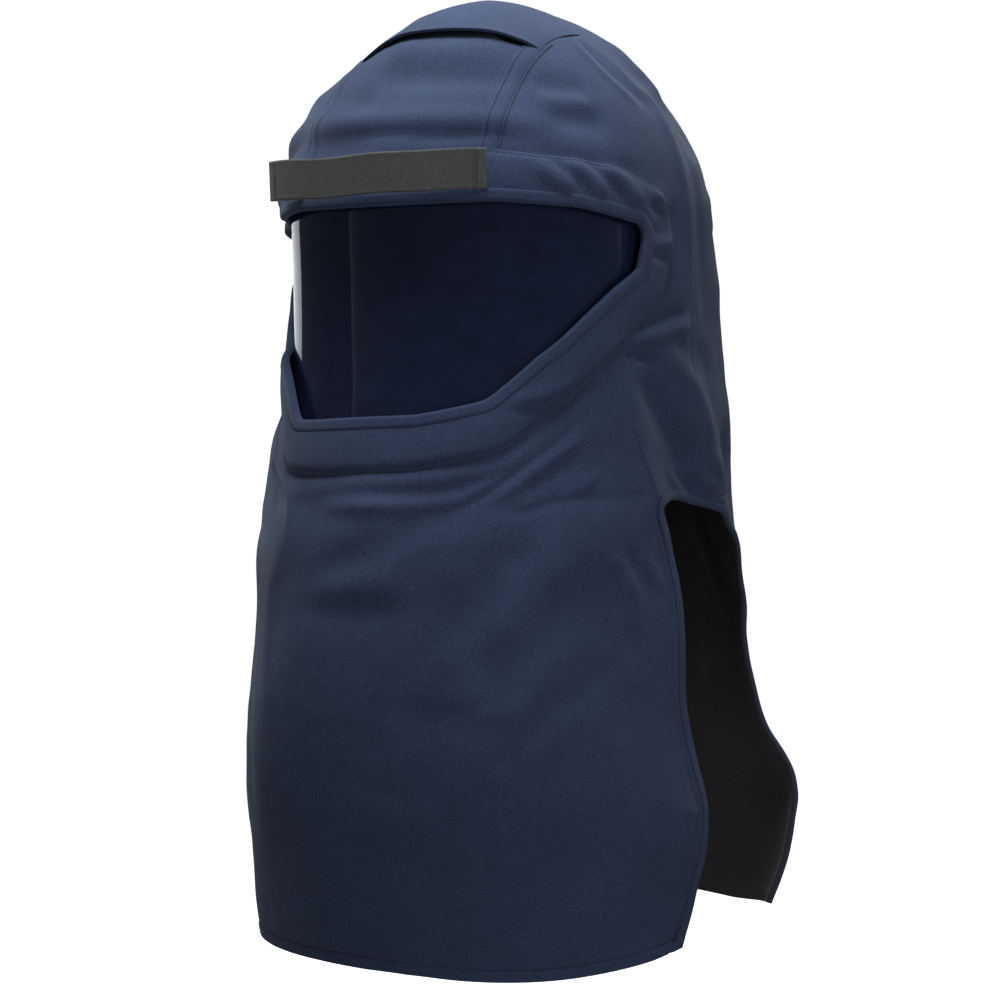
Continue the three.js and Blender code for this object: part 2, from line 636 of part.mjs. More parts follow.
// Edging of an arm opening: up the bib's edge, over the arch and down the drape's edge
function armBinding(side) {
  const bibDepths = BIB_ROWS.slice(7).reverse().map((down) => bibPlace(1, down)[1]);
  const drapeDepths = DRAPE_ROWS;
  const route = [
    ...bibDepths.slice(0, -1).map((depth) => clothPoint(side * bibEdge(depth), depth)),
    clothPoint(side * bibEdge(ARM_TOP), ARM_TOP),
    clothPoint(side * mix(bibEdge(ARM_TOP), sideSeam(ARM_TOP), 0.5), ARM_TOP - ARM_RISE),
    ...drapeDepths.map((depth) => clothPoint(side * drapeEdge(depth), depth)),
  ];
  const middleAngle = side * (BIB_EDGE_ANGLE + DRAPE_EDGE_ANGLE) / 2;
  const towards = (place) => {
    const depth = Math.max(CROWN_TOP - place.point.z, ARM_TOP + ARM_LOOK_DOWN);
    return ringPoint(middleAngle, depth);
  };
  return edging(withSides(route, towards, false), BINDING_RADIUS, false);
}

// Visor: an upright curved sheet inside the opening, a little wider than it all round
function visor() {
  const brow = ringAt(BROW_DEPTH);
  const halfWidth = brow.width - VISOR_SIDE_INSET;
  const reach = brow.front - VISOR_FRONT_INSET;
  const top = OPENING_TOP - VISOR_LAP;
  const bottom = OPENING_TOP + OPENING_HEIGHT + VISOR_LAP;
  const rows = steps(4).map((down) => steps(18).map((share) => {
    const angle = mix(-VISOR_HALF_ANGLE, VISOR_HALF_ANGLE, share);
    const sine = Math.sin(angle * DEGREES);
    const cosine = Math.cos(angle * DEGREES);
    const point = new THREE.Vector3(
      halfWidth * signedPower(sine, 2 / RING_POWER),
      -reach * signedPower(cosine, 2 / RING_POWER),
      CROWN_TOP - mix(top, bottom, down),
    );
    const normal = new THREE.Vector3(sine / halfWidth, -cosine / reach, 0).normalize();
    return { point, normal };
  }));
  return thickSheet([rows], VISOR_WALL);
}

// Black mesh behind the vent, laid inside both edges of the slot
function ventMesh() {
  const depthInside = SHELL_WALL + LAYER_GAP;
  const inset = 6;
  const offsets = steps(STRIP_COLUMNS).map((share) => (2 * share - 1) * (STRIP_HALF_WIDTH - inset));
  const rows = [MESH_AHEAD, MESH_AHEAD / 2, 0, -MESH_BEHIND].map((ahead) => offsets.map(
    (offset) => stripPoint(offset, VENT_RUN + ahead * runPerMillimetre),
  ));
  return thickSheet([rows], MESH_WALL, depthInside + 2 * LAYER_GAP);
}

// Brow strap: webbing from the strip's left seam round the brow, its far end folded back and sewn
function browStrap() {
  const lowerEdgeDepth = STRAP_LEVEL + WEBBING_WIDTH / 2;
  const rest = FACING_GAP + FACING_WALL + WEBBING_THICKNESS / 2 + STRAP_CLEARANCE;
  const surface = (offset) => clothPoint(angleAcross(offset, lowerEdgeDepth), lowerEdgeDepth);
  const off = (offset, gap) => {
    const { point, normal } = surface(offset);
    return new THREE.Vector2(point.x + normal.x * gap, point.y + normal.y * gap);
  };
  const shares = steps(10);
  const face = shares.map((share) => {
    const offset = mix(STRAP_LEFT_REACH, -STRAP_RIGHT_REACH, share);
    const rise = share < 0.5 ? Math.sin(Math.PI * share) : 1 + (share - 0.5) * 0.7;
    return off(offset, rest + STRAP_STAND_OFF * rise);
  });
  const end = face[face.length - 1];
  const before = face[face.length - 2];
  const along = end.clone().sub(before).normalize();
  const inward = new THREE.Vector2(along.y, -along.x);
  if (inward.dot(surface(-STRAP_RIGHT_REACH).normal) > 0) inward.negate();
  const fold = end.clone().addScaledVector(along, 2.2).addScaledVector(inward, 2.2);
  const back = end.clone().addScaledVector(inward, 4.6).addScaledVector(along, -1);
  const sewn = off(-STRAP_RIGHT_REACH + STRAP_RETURN, rest);
  const route = [...face, fold, back, sewn];
  const half = WEBBING_THICKNESS / 2;
  const sideOf = (index) => {
    const from = route[Math.max(index - 1, 0)];
    const to = route[Math.min(index + 1, route.length - 1)];
    const run = to.clone().sub(from).normalize();
    return new THREE.Vector2(-run.y, run.x);
  };
  const one = route.map((point, index) => point.clone().addScaledVector(sideOf(index), half));
  const other = route.map((point, index) => point.clone().addScaledVector(sideOf(index), -half)).reverse();
  const geometry = new THREE.ExtrudeGeometry(new THREE.Shape([...one, ...other]), {
    depth: WEBBING_WIDTH,
    bevelEnabled: false,
  });
  geometry.translate(0, 0, CROWN_TOP - STRAP_LEVEL - WEBBING_WIDTH / 2);
  return geometry;
}

addPiece('crown_front_panel', crownFrontPanel(), cloth);
addPiece('crown_back_panel', crownBackPanel(), cloth);
addPiece('side_panel_left', sidePanel(1), cloth);
addPiece('side_panel_right', sidePanel(-1), cloth);
addPiece('front_bib', frontBib(), cloth);
addPiece('back_drape', thickSheet([drapeRows(BACK_COLUMNS - 2)], SHELL_WALL), cloth);
addPiece('drape_lining', thickSheet([drapeRows(BACK_COLUMNS - 2)], LINING_WALL, SHELL_WALL + SEAM_GAP), liningCloth);
addPiece('visor_surround', visorSurround(), cloth);
addPiece('visor_binding', visorBinding(), cloth);
addPiece('arm_binding_left', armBinding(1), cloth);
addPiece('arm_binding_right', armBinding(-1), cloth);
addPiece('visor', visor(), visorPlastic);
addPiece('vent_mesh', ventMesh(), meshCloth);
addPiece('brow_strap', browStrap(), webbing);

export default hood;
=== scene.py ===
"""Looks of the arc flash hood: its cloth with folds, seams and stitching, tinted visor, webbing and mesh."""

import math

import bmesh
import bpy
import numpy as np
from mathutils import Matrix, Vector


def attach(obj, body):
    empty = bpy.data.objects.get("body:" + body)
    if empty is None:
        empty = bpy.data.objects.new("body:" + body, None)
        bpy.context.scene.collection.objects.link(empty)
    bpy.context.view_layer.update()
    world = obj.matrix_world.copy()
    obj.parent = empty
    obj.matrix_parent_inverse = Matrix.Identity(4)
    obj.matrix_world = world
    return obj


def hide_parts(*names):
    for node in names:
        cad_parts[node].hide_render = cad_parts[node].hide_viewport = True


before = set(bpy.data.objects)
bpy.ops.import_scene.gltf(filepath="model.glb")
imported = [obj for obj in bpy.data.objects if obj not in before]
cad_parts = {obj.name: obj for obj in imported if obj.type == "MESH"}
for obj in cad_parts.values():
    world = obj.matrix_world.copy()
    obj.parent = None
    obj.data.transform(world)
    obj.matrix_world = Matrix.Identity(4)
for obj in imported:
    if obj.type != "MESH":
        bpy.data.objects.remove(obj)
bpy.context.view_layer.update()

MM = 0.001

# Main sizes in millimetres, as in the part's source
SHELL_WALL = 2.4
LINING_WALL = 1.2
FACING_WALL = 1.6
SEAM_GAP = 0.4
HOOD_HEIGHT = 768
CROWN_RISE = 178
HALF_WIDTH = 200
FRONT_DEPTH = 238
BACK_DEPTH = 226
RING_POWER = 2.2
CROWN_POWER = 1.76
STRIP_HALF_WIDTH = 88
VENT_SETBACK = 65
LIP_OVERHANG = 18
LIP_RAISE = 10
OPENING_TOP = 167
OPENING_HEIGHT = 170
OPENING_HALF_ANGLE = 77
FACING_WIDTH = 38
SIDE_SEAM_ANGLE = 94
ARM_TOP = 414
ARM_RISE = 6
BIB_EDGE_ANGLE = 82
DRAPE_EDGE_ANGLE = 126
DRAPE_FLARE = 34
FLARE_REACH = 44
HEM_RISE = 7
FORM_HEIGHT = 10
CROWN_TOP = SHELL_WALL
BROW_DEPTH = CROWN_RISE
DROP = HOOD_HEIGHT - BROW_DEPTH
CELL = 3.4
TINY_WIDTH, TINY_LENGTH = 1e-6, 1e-9
FORWARD = np.array([0.0, -1.0, 0.0])
TOP_DEPTH = 0.5

# Rings of the body: share of the drop below the brow, then width, front and back as shares of their sizes
RINGS = [
    [0.000, 0.850, 0.723, 0.872], [0.073, 0.850, 0.723, 0.930], [0.192, 0.855, 0.746, 0.980],
    [0.302, 0.870, 0.819, 0.980], [0.412, 0.895, 0.912, 0.942], [0.522, 0.930, 0.958, 0.914],
    [0.658, 0.960, 0.996, 0.925], [0.793, 0.985, 1.000, 0.951], [0.929, 1.005, 0.966, 0.982],
    [1.000, 1.000, 0.930, 1.000],
]

# Broad soft forms: angle and depth share at both ends, half width share, height share; mirrored
FORMS = [
    [79, 0.455, 104, 0.625, 0.031, -0.9], [86, 0.415, 118, 0.600, 0.029, 0.6],
    [69, 0.395, 79, 0.560, 0.026, 0.4], [34, 0.470, 66, 0.400, 0.023, -0.4],
    [0, 0.530, 40, 0.505, 0.029, -0.4], [40, 0.600, 72, 0.545, 0.034, 0.4],
    [12, 0.700, 60, 0.860, 0.078, 0.5], [60, 0.840, 80, 0.880, 0.044, 0.6],
    [140, 0.620, 150, 0.960, 0.052, -1.0], [170, 0.560, 168, 0.980, 0.055, 0.9],
]

# Flare of the drape's side edges, share of the drop against share of the flare
FLARE = [
    [0.45, 0.00], [0.50, 0.06], [0.56, 0.11], [0.61, 0.05], [0.67, 0.16], [0.74, 0.37],
    [0.80, 0.86], [0.84, 0.97], [0.88, 0.84], [0.93, 0.60], [1.00, 0.12],
]

# Folds of the cloth: side (1 left, -1 right, 0 both, 2 across the middle), kind, height, half width and a
# route of angles and depths. A negative height is a valley. Sharp folds have a narrow crest.
SOFT, SHARP = 0, 1
FOLDS = [
    (2, SOFT, -3.8, 15, [(-22, 62), (8, 67), (23, 70), (38, 73), (48, 77)]),
    (2, SOFT, 3.0, 16, [(-25, 42), (8, 46), (30, 46), (46, 52)]),
    (1, SOFT, -2.6, 11, [(46, 75), (57, 80), (69, 83)]),
    (1, SOFT, 2.2, 11, [(44, 90), (57, 93), (68, 95)]),
    (1, SOFT, -3.0, 13, [(48, 104), (60, 108), (72, 109)]),
    (-1, SOFT, -2.4, 12, [(46, 76), (16, 84), (4, 84)]),
    (-1, SOFT, -2.2, 12, [(78, 90), (60, 96), (46, 98)]),
    (2, SOFT, 3.2, 11, [(-50, 99), (-16, 101), (2, 102), (18, 104), (33, 107), (44, 109), (56, 116)]),
    (2, SHARP, -1.8, 8, [(-30, 114), (-2, 113), (12, 117), (27, 118), (42, 122)]),
    (-1, SOFT, -1.6, 9, [(40, 117), (14, 123), (0, 128)]),
    (1, SHARP, -1.4, 6, [(30, 130), (48, 134), (58, 139), (74, 146), (84, 156)]),
    (1, SOFT, 2.4, 7, [(42, 140), (47, 152), (54, 168)]),
    (1, SHARP, -1.5, 5, [(46, 139), (52, 148), (58, 169)]),
    (1, SOFT, 2.4, 7, [(51, 141), (58, 152), (63, 172)]),
    (1, SHARP, -1.7, 5, [(56, 141), (62, 150), (70, 175)]),
    (1, SOFT, 2.6, 8, [(62, 144), (69, 156), (76, 178)]),
    (-1, SOFT, 1.8, 8, [(44, 138), (52, 152), (58, 170)]),
    (-1, SHARP, -1.5, 6, [(54, 140), (62, 150), (70, 174)]),
    (0, SHARP, -2.2, 5, [(78, 174), (86, 184)]),
    (0, SOFT, 1.8, 6, [(80, 168), (90, 172)]),
    (0, SHARP, -1.8, 5, [(79, 198), (88, 194)]),
    (0, SOFT, 1.4, 6, [(80, 206), (89, 204)]),
    (0, SHARP, -1.6, 5, [(78, 213), (86, 222)]),
    (0, SHARP, -2.0, 7, [(88, 160), (89.5, 178), (89.5, 211), (87, 243), (83, 262)]),
    (0, SHARP, 1.9, 7, [(77, 33), (80, 64), (86, 85), (90, 100)]),
    (0, SHARP, -1.4, 6, [(83, 36), (86, 63), (90, 82), (93, 98)]),
    (0, SOFT, 1.8, 7, [(86, 35), (91.5, 50), (94, 77), (98, 90), (97, 112), (96, 146), (96, 210), (94, 262)]),
    (0, SOFT, -1.6, 9, [(100, 60), (104, 95), (103, 140), (103, 210), (102, 300)]),
    (0, SOFT, 1.8, 9, [(116, 33), (107, 58), (113, 78), (112, 110)]),
    (0, SHARP, -1.4, 8, [(124, 42), (117, 70), (122, 100)]),
    (0, SHARP, -4.2, 5.5, [(69, 277), (74, 272), (79, 268), (87, 264), (93, 263)]),
    (0, SOFT, 3.4, 8, [(72, 283), (80, 278), (88, 274), (95, 272)]),
    (0, SHARP, -3.6, 6, [(68, 293), (73, 294), (79, 300)]),
    (0, SOFT, 3.6, 12, [(79, 282), (88, 302), (95, 330), (98, 356), (99, 378)]),
    (0, SOFT, -4.2, 14, [(71, 301), (77, 324), (85, 352), (90, 374), (93, 400)]),
    (0, SOFT, -1.8, 10, [(96, 285), (100, 300), (102, 322)]),
    (0, SOFT, 2.0, 6, [(84, 386), (88, 398), (91, 410)]),
    (0, SHARP, -2.0, 5, [(87, 384), (91, 398), (95, 412)]),
    (0, SOFT, 2.0, 6, [(91, 384), (96, 398), (100, 412)]),
    (0, SHARP, -1.6, 5, [(98, 386), (102, 400), (107, 418)]),
    (0, SHARP, 1.5, 4, [(69, 303), (71.5, 351), (75.5, 393), (78, 414)]),
    (2, SHARP, -1.2, 3.5, [(-62, 305), (-50, 340), (-35, 378), (-1, 377.5), (16, 374), (30, 371), (37, 362),
                           (42, 349), (51, 330), (60, 308), (68, 285)]),
    (2, SOFT, 1.1, 8, [(-48, 362), (-30, 390), (0, 388), (18, 385), (29, 380), (37, 371), (44, 356),
                       (53, 334), (62, 312)]),
    (1, SOFT, -1.6, 6, [(-13, 393), (8, 392), (21, 389), (29, 384), (37, 375), (45, 358), (54, 336)]),
    (1, SOFT, 1.6, 7, [(-14, 402), (8, 402), (21, 400), (28, 393), (34, 382), (42, 367), (51, 347),
                       (61, 320)]),
    (-1, SOFT, 1.3, 8, [(14, 402), (2, 402), (-8, 402)]),
    (1, SHARP, -1.9, 5, [(17, 408), (25, 402), (33, 390), (41, 373), (50, 354), (58, 331)]),
    (1, SOFT, 2.0, 6, [(29, 403), (37, 391), (44, 377), (50, 364), (58, 351)]),
    (1, SOFT, -1.6, 7, [(38, 398), (46, 384), (54, 370)]),
    (1, SOFT, 1.9, 6, [(34, 327), (44, 323), (54, 309)]),
    (1, SHARP, -1.7, 6, [(32, 334), (45, 332), (54, 320), (61, 300)]),
    (1, SHARP, 1.9, 5, [(48, 403), (56, 394), (61, 381)]),
    (1, SHARP, -1.9, 5, [(34, 404), (39, 410), (46, 405), (55, 399), (60, 390)]),
    (1, SHARP, -1.0, 5, [(50, 400), (60, 404), (77, 404)]),
    (-1, SHARP, 1.5, 5, [(52, 361), (32, 385), (26, 411), (24, 430)]),
    (-1, SHARP, -1.2, 6, [(46, 372), (38, 392), (33, 415)]),
    (2, SOFT, -2.4, 15, [(-16, 458), (-4, 447), (4, 433), (17, 416), (30, 404)]),
    (2, SOFT, 1.3, 12, [(-14, 464), (0, 463), (14, 461)]),
    (2, SOFT, -1.3, 12, [(-14, 486), (0, 485), (12, 484)]),
    (1, SOFT, -2.6, 17, [(42, 424), (38, 441), (31, 470), (23, 498), (18, 516)]),
    (1, SOFT, 2.0, 18, [(50, 436), (45, 462), (38, 488), (30, 512)]),
    (1, SOFT, -1.4, 14, [(27, 508), (31, 530), (35, 562)]),
    (1, SOFT, 1.8, 13, [(52, 495), (46, 527), (40, 553), (32, 578)]),
    (1, SOFT, -2.2, 13, [(60, 522), (57, 538), (53, 553), (46, 574)]),
    (1, SOFT, 1.6, 13, [(55, 556), (48, 574), (37, 608)]),
    (1, SOFT, -1.4, 13, [(28, 566), (33, 584), (35, 610)]),
    (2, SOFT, -1.3, 14, [(8, 560), (20, 565), (30, 567)]),
    (2, SOFT, 1.6, 20, [(-6, 640), (8, 645), (22, 648)]),
    (1, SOFT, 1.8, 8, [(61, 446), (65, 462), (69, 486)]),
    (1, SOFT, -1.6, 8, [(66, 446), (70, 463), (73, 488)]),
    (1, SOFT, 1.5, 7, [(72, 450), (77, 482)]),
    (1, SOFT, -1.2, 8, [(65, 500), (68, 536)]),
    (1, SHARP, 1.6, 7, [(74, 652), (81, 659)]),
    (1, SOFT, 1.6, 8, [(78, 662), (73, 694), (71, 720)]),
    (1, SOFT, -1.2, 9, [(70, 640), (68, 676)]),
    (-1, SOFT, 1.2, 12, [(22, 415), (30, 464), (31, 511), (27, 557), (24, 602)]),
    (-1, SOFT, -1.6, 14, [(40, 430), (44, 500), (40, 590), (36, 680)]),
    (-1, SOFT, 2.2, 16, [(56, 440), (60, 540), (54, 650), (58, 730)]),
    (-1, SOFT, -2.2, 15, [(68, 430), (66, 480), (58, 520)]),
    (2, SOFT, -1.8, 22, [(-30, 200), (-40, 235), (-48, 262)]),
    (0, SOFT, -3.6, 24, [(128, 250), (138, 330), (150, 420), (156, 520)]),
    (0, SOFT, 3.4, 24, [(112, 190), (116, 270), (124, 360), (130, 440)]),
    (0, SOFT, 2.6, 20, [(150, 300), (160, 380), (166, 470)]),
    (0, SOFT, -2.6, 18, [(170, 120), (166, 190), (172, 270), (168, 350)]),
    (2, SOFT, -2.4, 16, [(150, 90), (170, 96), (179, 98)]),
    (0, SOFT, -2.4, 14, [(130, 560), (140, 640), (146, 720)]),
    (-1, SOFT, -6.5, 30, [(52, 170), (55, 215), (56, 255), (56, 290)]),
    (-1, SOFT, 4.2, 34, [(52, 330), (54, 375), (54, 430)]),
    (-1, SOFT, 8.5, 26, [(72, 72), (62, 92), (54, 112), (50, 128)]),
    (-1, SOFT, -3.0, 22, [(48, 66), (44, 46), (40, 28), (42, 14)]),
    (1, SOFT, 3.4, 30, [(140, 12), (126, 32), (118, 56), (114, 80)]),
    (1, SOFT, -5.5, 26, [(112, 76), (112, 108), (114, 140)]),
    (1, SOFT, 2.2, 26, [(117, 160), (119, 200)]),
    (1, SOFT, -2.6, 26, [(121, 240), (121, 300), (120, 350)]),
    (1, SOFT, -6.0, 24, [(118, 350), (114, 395), (113, 432), (114, 470)]),
    (-1, SOFT, -3.8, 26, [(58, 580), (58, 690), (58, 765)]),
    (-1, SOFT, -7.0, 20, [(56, 158), (60, 178), (65, 196)]),
    (-1, SOFT, -4.0, 20, [(56, 228), (56, 262), (56, 296)]),
    (1, SOFT, -5.0, 10, [(156, 440), (146, 468), (139, 497), (136, 520), (144, 547), (154, 567), (164, 590)]),
    (0, SOFT, 2.2, 14, [(120, 470), (128, 520), (133, 600), (136, 700)]),
]
FOLD_FADE = 0.26
FOLD_GAIN = 1.3
BROAD_FOLD = 20
WAVE_SEED = 7
BROAD_WAVE_HEIGHT, FINE_WAVE_HEIGHT = 0.75, 0.13


def read_table(rows, position, column=1):
    """Smooth reading of a table of rows at the given positions."""
    table = np.asarray(rows, float)
    places, values = table[:, 0], table[:, column]
    last = len(places) - 1
    at = np.clip(position, places[0], places[-1])
    index = np.clip(np.searchsorted(places, at, side="left") - 1, 0, last - 1)
    before = np.maximum(np.arange(last + 1) - 1, 0)
    after = np.minimum(np.arange(last + 1) + 1, last)
    slopes = (values[after] - values[before]) / (places[after] - places[before])
    length = places[index + 1] - places[index]
    t = (at - places[index]) / length
    return (
        (2 * t**3 - 3 * t**2 + 1) * values[index]
        + (t**3 - 2 * t**2 + t) * length * slopes[index]
        + (3 * t**2 - 2 * t**3) * values[index + 1]
        + (t**3 - t**2) * length * slopes[index + 1]
    )


def read_line(rows, position, column=1):
    table = np.asarray(rows, float)
    return np.interp(position, table[:, 0], table[:, column])


def smoothstep(t):
    t = np.clip(t, 0, 1)
    return t * t * (3 - 2 * t)


def signed_power(value, power):
    return np.sign(value) * np.abs(value) ** power


def mix(a, b, t):
    return a + (b - a) * t


def unit(vectors):
    """The vectors with their length made 1."""
    return vectors / np.maximum(np.linalg.norm(vectors, axis=-1, keepdims=True), TINY_LENGTH)


def walked_along(points):
    """The distance from the first point to each point."""
    return np.concatenate([[0], np.cumsum(np.linalg.norm(np.diff(points, axis=0), axis=1))])


def crown_close(depth):
    """Size of the crown's ring at a depth as a share of the brow's, 0 at the top."""
    rise = np.clip((BROW_DEPTH - depth) / CROWN_RISE, 0, 1)
    return (1 - rise**CROWN_POWER) ** (1 / CROWN_POWER)


def ring_at(depth):
    """Half width, front and back of the body's ring at a depth below the top."""
    share = (np.maximum(depth, BROW_DEPTH) - BROW_DEPTH) / DROP
    close = crown_close(depth)
    return (
        HALF_WIDTH * read_table(RINGS, share, 1) * close,
        FRONT_DEPTH * read_table(RINGS, share, 2) * close,
        BACK_DEPTH * read_table(RINGS, share, 3) * close,
    )


def ring_point(angle, depth):
    """A point of the plain form: the angle runs from the front, positive to the wearer's left."""
    width, front, back = ring_at(depth)
    sine, cosine = np.sin(np.radians(angle)), np.cos(np.radians(angle))
    reach = np.where(cosine >= 0, front, back)
    return np.stack([
        width * signed_power(sine, 2 / RING_POWER),
        -reach * signed_power(cosine, 2 / RING_POWER),
        CROWN_TOP - depth + 0 * width,
    ], axis=-1)


def ring_normal(angle, depth):
    width, front, back = ring_at(depth)
    sine, cosine = np.sin(np.radians(angle)), np.cos(np.radians(angle))
    reach = np.maximum(np.where(cosine >= 0, front, back), TINY_WIDTH)
    bend = 2 - 2 / RING_POWER
    across = signed_power(sine, bend) / np.maximum(width, TINY_WIDTH)
    along = -signed_power(cosine, bend) / reach
    above = ring_point(angle, np.maximum(depth - 1, 0.2))
    below = ring_point(angle, depth + 1)
    fall = above[..., 2] - below[..., 2]
    lift = -(across * (above[..., 0] - below[..., 0]) + along * (above[..., 1] - below[..., 1])) / fall
    normal = unit(np.stack([across, along, lift], axis=-1))
    return np.where((depth < TOP_DEPTH)[..., None], np.array([0.0, 0.0, 1.0]), normal)


def flare_offset(angle, depth):
    """How far the drape's side edges stand out and back."""
    share = (depth - BROW_DEPTH) / DROP
    inward = (np.abs(angle) - DRAPE_EDGE_ANGLE) / FLARE_REACH
    fade = smoothstep(1 - inward) * np.clip((np.abs(angle) - 100) / 15, 0, 1)
    size = DRAPE_FLARE * read_table(FLARE, share) * fade * (share >= FLARE[0][0])
    return np.stack([np.sign(angle) * 0.857 * size, 0.515 * size, 0 * size], axis=-1)


def smooth_route(points, parts=6):
    """Catmull-Rom curve through the points of a route."""
    points = np.asarray(points, float)
    padded = np.vstack([2 * points[0] - points[1], points, 2 * points[-1] - points[-2]])
    out = []
    for index in range(len(points) - 1):
        p0, p1, p2, p3 = padded[index:index + 4]
        for step in range(parts):
            t = step / parts
            out.append(0.5 * (2 * p1 + (p2 - p0) * t + (2 * p0 - 5 * p1 + 4 * p2 - p3) * t**2
                              + (3 * p1 - p0 - 3 * p2 + p3) * t**3))
    out.append(points[-1])
    return np.array(out)


def along_route(points, route):
    """Distance of each point to a 3-D route, and the share of the route's length there."""
    best = np.full(len(points), 1e9)
    share = np.zeros(len(points))
    lengths = np.linalg.norm(np.diff(route, axis=0), axis=1)
    total, walked = lengths.sum(), 0.0
    for start, end, length in zip(route[:-1], route[1:], lengths):
        run = end - start
        t = np.clip(((points - start) @ run) / max(length**2, 1e-9), 0, 1)
        distance = np.linalg.norm(points - start - t[:, None] * run, axis=1)
        nearer = distance < best
        best = np.where(nearer, distance, best)
        share = np.where(nearer, (walked + t * length) / total, share)
        walked += length
    return best, share


def fold_routes():
    """Each fold's kind, height and width with its route on the plain form."""
    routes = []
    for side, kind, height, width, points in FOLDS:
        base = np.array(points, float)
        for sign in {1: [1], -1: [-1], 0: [1, -1], 2: [1]}[side]:
            turned = base * np.array([sign, 1])
            smooth = smooth_route(turned)
            route = ring_point(smooth[:, 0], smooth[:, 1]) + flare_offset(smooth[:, 0], smooth[:, 1])
            routes.append((kind, height, width, route))
    return routes


FOLD_ROUTES = fold_routes()
noise_source = np.random.default_rng(WAVE_SEED)


def wave_set(count, shortest, longest):
    directions = unit(noise_source.normal(size=(count, 3)))
    lengths = noise_source.uniform(shortest, longest, count)
    return directions * (2 * math.pi / lengths)[:, None], noise_source.uniform(0, 2 * math.pi, count)


BROAD_WAVES = wave_set(16, 70, 150)
FINE_WAVES = wave_set(22, 18, 42)


def waves(points, wave):
    vectors, phases = wave
    return np.cos(points @ vectors.T + phases).sum(axis=1) / math.sqrt(len(phases))


def relief(points, angle, depth):
    """Height of the cloth over the plain form, from the broad forms, the folds and a faint unevenness."""
    flat = points.reshape(-1, 3)
    height = np.zeros(len(flat))
    unrolled = math.radians(HALF_WIDTH * 0.9)
    here = np.stack([np.abs(angle) * unrolled, depth + 0 * angle], axis=-1).reshape(-1, 2)
    for angle_a, share_a, angle_b, share_b, width, size in FORMS:
        start = np.array([angle_a * unrolled, share_a * HOOD_HEIGHT])
        run = np.array([angle_b * unrolled, share_b * HOOD_HEIGHT]) - start
        t = np.clip((here - start) @ run / (run @ run), 0, 1)
        distance = np.linalg.norm(here - start - t[:, None] * run, axis=1)
        taper = 0.35 + 0.65 * np.sin(math.pi * t)
        height += size * FORM_HEIGHT * taper * np.exp(-((distance / (width * HOOD_HEIGHT)) ** 2))
    for kind, size, width, route in FOLD_ROUTES:
        margin = 3 * width
        near = np.all((flat > route.min(axis=0) - margin) & (flat < route.max(axis=0) + margin), axis=1)
        if not near.any():
            continue
        distance, share = along_route(flat[near], route)
        fade = smoothstep(np.minimum(share, 1 - share) / FOLD_FADE) * 0.85 + 0.15
        if kind == SHARP:
            shape = np.exp(-(np.sqrt(distance**2 + 1.2) - 1.1) / (0.62 * width))
        else:
            shape = np.exp(-((distance / width) ** 2))
        height[near] += size * shape * fade * (FOLD_GAIN if width < BROAD_FOLD else 1)
    height += BROAD_WAVE_HEIGHT * waves(flat, BROAD_WAVES) + FINE_WAVE_HEIGHT * waves(flat, FINE_WAVES)
    return height.reshape(points.shape[:-1])


def cloth(angle, depth, lift=0.0):
    """Points of the cloth's outer face, in millimetres."""
    angle, depth = np.broadcast_arrays(np.asarray(angle, float), np.asarray(depth, float))
    points = ring_point(angle, depth) + flare_offset(angle, depth)
    height = relief(points, angle, depth) + lift
    return points + ring_normal(angle, depth) * height[..., None]


def cloth_frame(angle, depth, lift=0.0):
    """Points with the outward direction of the folded cloth there."""
    turn, fall = 1.2, 2
    points = cloth(angle, depth, lift)
    across = cloth(angle + turn, depth, lift) - cloth(angle - turn, depth, lift)
    down = cloth(angle, depth + fall, lift) - cloth(angle, depth - fall, lift)
    return points, unit(np.cross(down, across))


def depth_of_close(close):
    return BROW_DEPTH - CROWN_RISE * (1 - np.minimum(close, 1) ** CROWN_POWER) ** (1 / CROWN_POWER)


def angle_across(offset, depth):
    width = ring_at(depth)[0]
    ratio = np.clip(np.abs(offset) / np.maximum(width, TINY_WIDTH), 0, 1)
    return np.sign(offset) * np.degrees(np.arcsin(ratio ** (RING_POWER / 2)))


def strip_place(offset, run):
    """Angle and depth of a place on the crown strip. The run is 0 at the ridge and 1 at the brow."""
    offset, run = np.broadcast_arrays(np.asarray(offset, float), np.asarray(run, float))
    ratio = np.abs(offset) / (HALF_WIDTH * RINGS[0][1])
    span = (1 - ratio**RING_POWER) ** (1 / RING_POWER)
    close = np.minimum(((run * span) ** RING_POWER + ratio**RING_POWER) ** (1 / RING_POWER), 1)
    depth = np.maximum(depth_of_close(close), 0)
    return np.where(close > 1e-6, angle_across(offset, depth), 0.0), depth


SEAM_RATIO = STRIP_HALF_WIDTH / (HALF_WIDTH * RINGS[0][1])
RIDGE_DEPTH = float(depth_of_close(np.array(SEAM_RATIO)))
SEAM_SPAN = (1 - SEAM_RATIO**RING_POWER) ** (1 / RING_POWER)
VENT_RUN = VENT_SETBACK / (FRONT_DEPTH * RINGS[0][2] * SEAM_SPAN)
VENT_DEPTH = float(depth_of_close(np.array(
    ((VENT_RUN * SEAM_SPAN) ** RING_POWER + SEAM_RATIO**RING_POWER) ** (1 / RING_POWER))))
RUN_PER_MM = 1 / (FRONT_DEPTH * RINGS[0][2])


def seam_run(depth):
    left_over = np.maximum(crown_close(depth) ** RING_POWER - SEAM_RATIO**RING_POWER, 0)
    return left_over ** (1 / RING_POWER) / SEAM_SPAN


